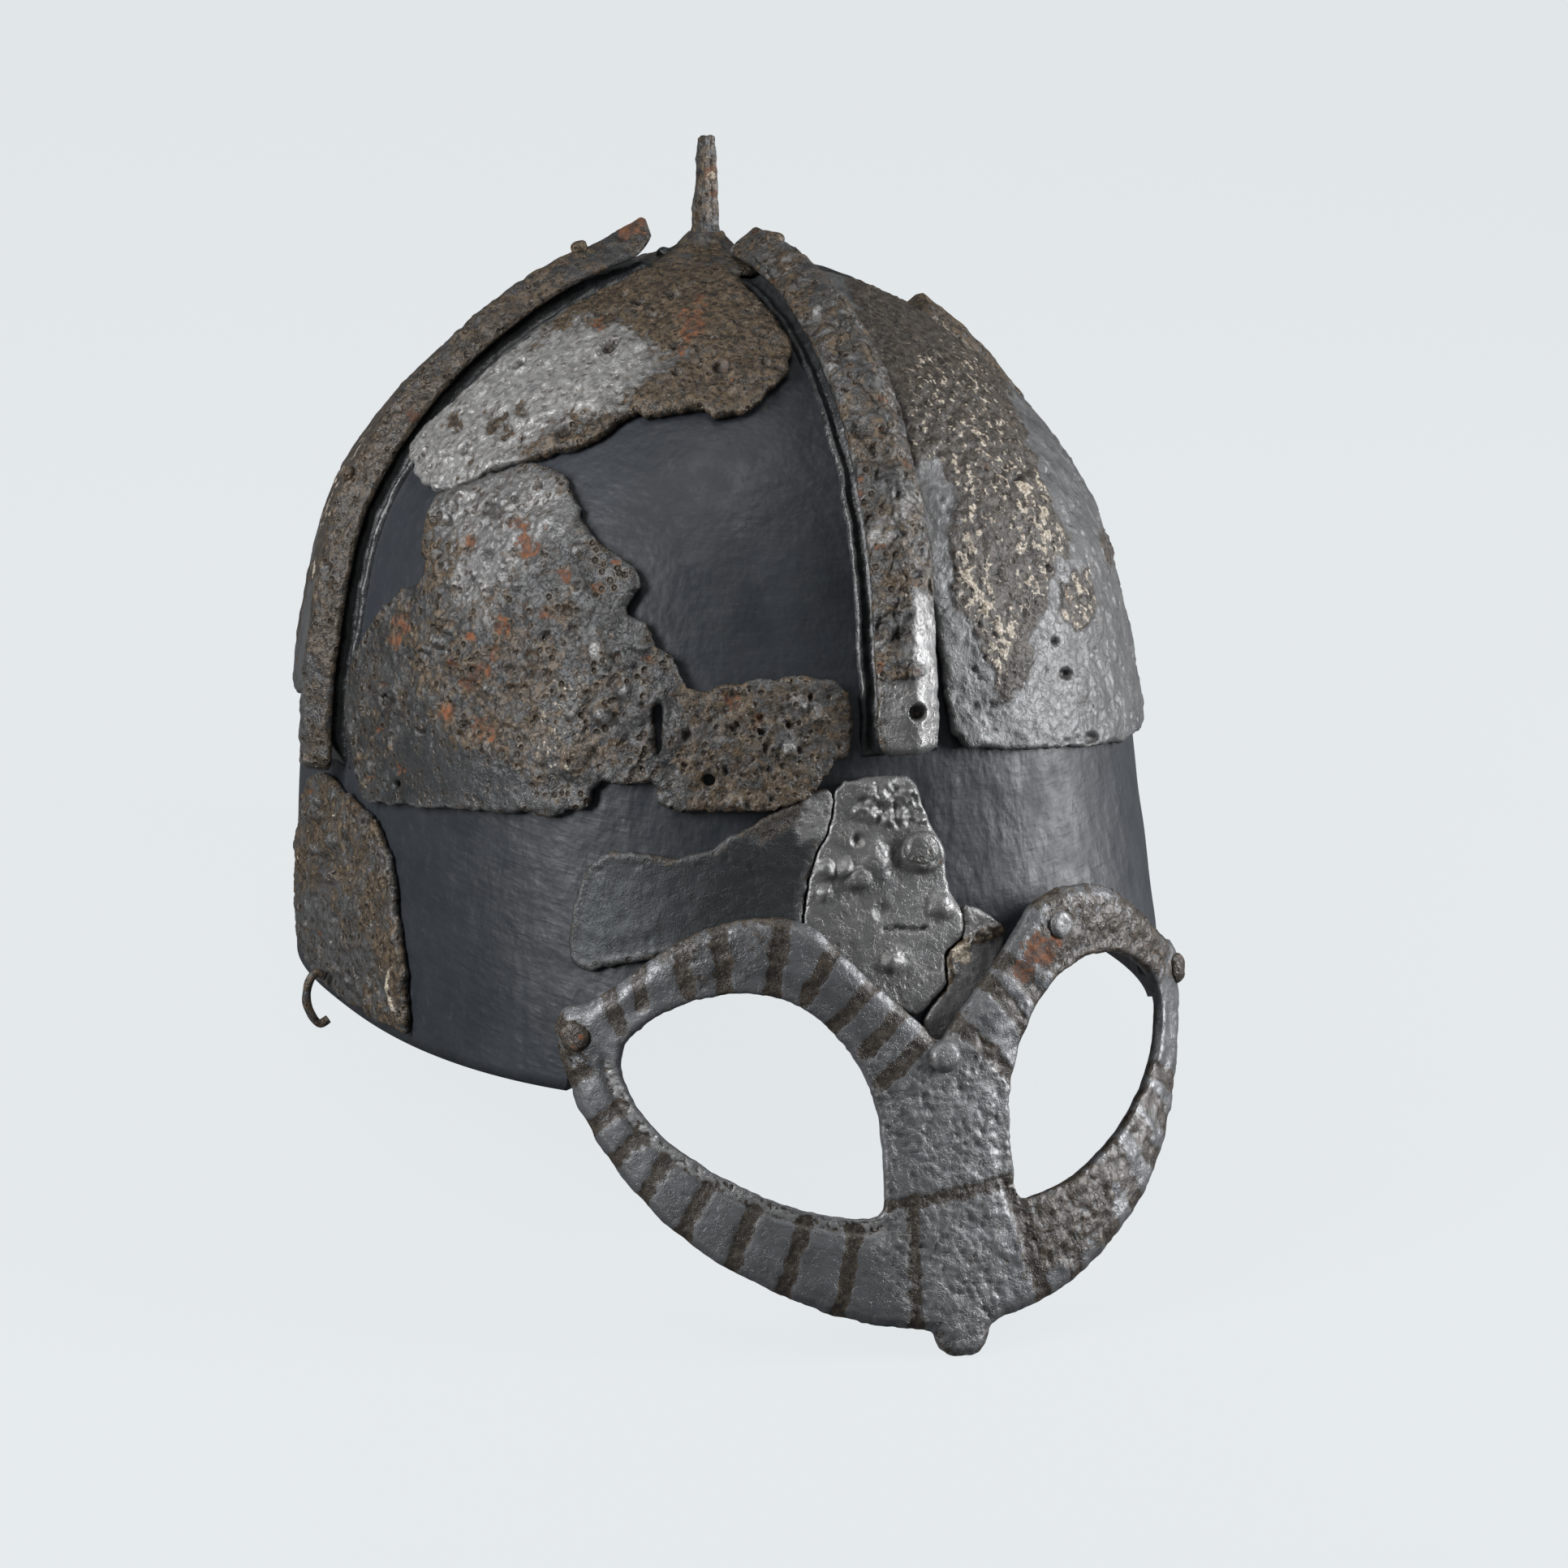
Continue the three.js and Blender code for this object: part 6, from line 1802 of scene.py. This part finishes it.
# The pin sits in the front band's hole; it is darkened through the hollow mask as painted shade
pin_place, pin_facing = dome_spot(1.2, 0.472, BAND_SEAT + BAND_CREST - 2.7)
small_head("band_front_pin", pin_place, pin_facing, 1.3, 0.5, lambda points: {"brown": 0.8, "hollow": 0.5},
           "pitted_iron")

# The floor, the lights and the camera

FLOOR_HALF = 40
FLOOR_COLOR = (0.03, 0.03, 0.03, 1)
FLOOR_GLOW = (0.745, 0.78, 0.803, 1)
floor_shader = Shader("pale_floor")
floor_body = add_node(floor_shader.tree, "ShaderNodeBsdfPrincipled", None, Base_Color=FLOOR_COLOR,
                      Roughness=1.0, Metallic=0.0, Emission_Color=FLOOR_GLOW, Emission_Strength=1.0)
floor_body.inputs["Specular IOR Level"].default_value = 0.0
add_node(floor_shader.tree, "ShaderNodeOutputMaterial", None, Surface=floor_body.outputs[0])
floor_mesh = bpy.data.meshes.new("floor")
floor_corners = [(x * FLOOR_HALF, y * FLOOR_HALF, 0) for x, y in ((-1, -1), (1, -1), (1, 1), (-1, 1))]
floor_mesh.from_pydata(floor_corners, [], [(0, 1, 2, 3)])
floor_mesh.materials.append(floor_shader.material)
floor = bpy.data.objects.new("floor", floor_mesh)
bpy.context.scene.collection.objects.link(floor)
floor.visible_diffuse = False
floor.visible_glossy = False

world = bpy.data.worlds.new("pale_surroundings")
world.use_nodes = True
background = world.node_tree.nodes["Background"]
background.inputs["Color"].default_value = (0.80, 0.82, 0.84, 1)
background.inputs["Strength"].default_value = 0.2
bpy.context.scene.world = world


def frame_matrix(place, right, up, back):
    """The matrix of a camera or light from upright millimetres and directions."""
    rows = np.stack([rotate_back(right), rotate_back(up), rotate_back(back), to_model(place)], 1)
    return Matrix([list(row) for row in rows] + [[0, 0, 0, 1]])


def add_light(name, place, target, size, power, color):
    back = unit(np.array(place, float) - np.array(target, float))
    right = unit(np.cross([0, 0, 1.0], back))
    up = np.cross(back, right)
    light = bpy.data.lights.new(name, "AREA")
    light.shape = "RECTANGLE"
    light.size, light.size_y = size
    light.energy = power
    light.color = color
    lamp = bpy.data.objects.new(name, light)
    lamp.matrix_world = frame_matrix(place, right, up, back)
    bpy.context.scene.collection.objects.link(lamp)


add_light("left_light", (-755, -215, 400), (0, 0, 70), (0.22, 0.5), 8.4, (0.98, 0.985, 1.0))
add_light("right_light", (720, -360, 250), (20, 0, 60), (0.2, 0.55), 11.0, (0.98, 0.985, 1.0))
add_light("top_light", (-180, -320, 900), (0, 0, 100), (0.3, 0.3), 2.2, (1.0, 0.985, 0.96))

camera_data = bpy.data.cameras.new("photo_camera")
camera_data.sensor_width = SENSOR_WIDTH
camera_data.lens = SENSOR_WIDTH * FOCAL_PIXELS / PHOTO_SIZE
camera_data.clip_end = 20
camera = bpy.data.objects.new("photo_camera", camera_data)
camera.matrix_world = frame_matrix(CAMERA_PLACE, CAMERA_RIGHT, CAMERA_UP, CAMERA_BACK)
bpy.context.scene.collection.objects.link(camera)
bpy.context.scene.camera = camera
bpy.context.scene.view_settings.view_transform = "Standard"
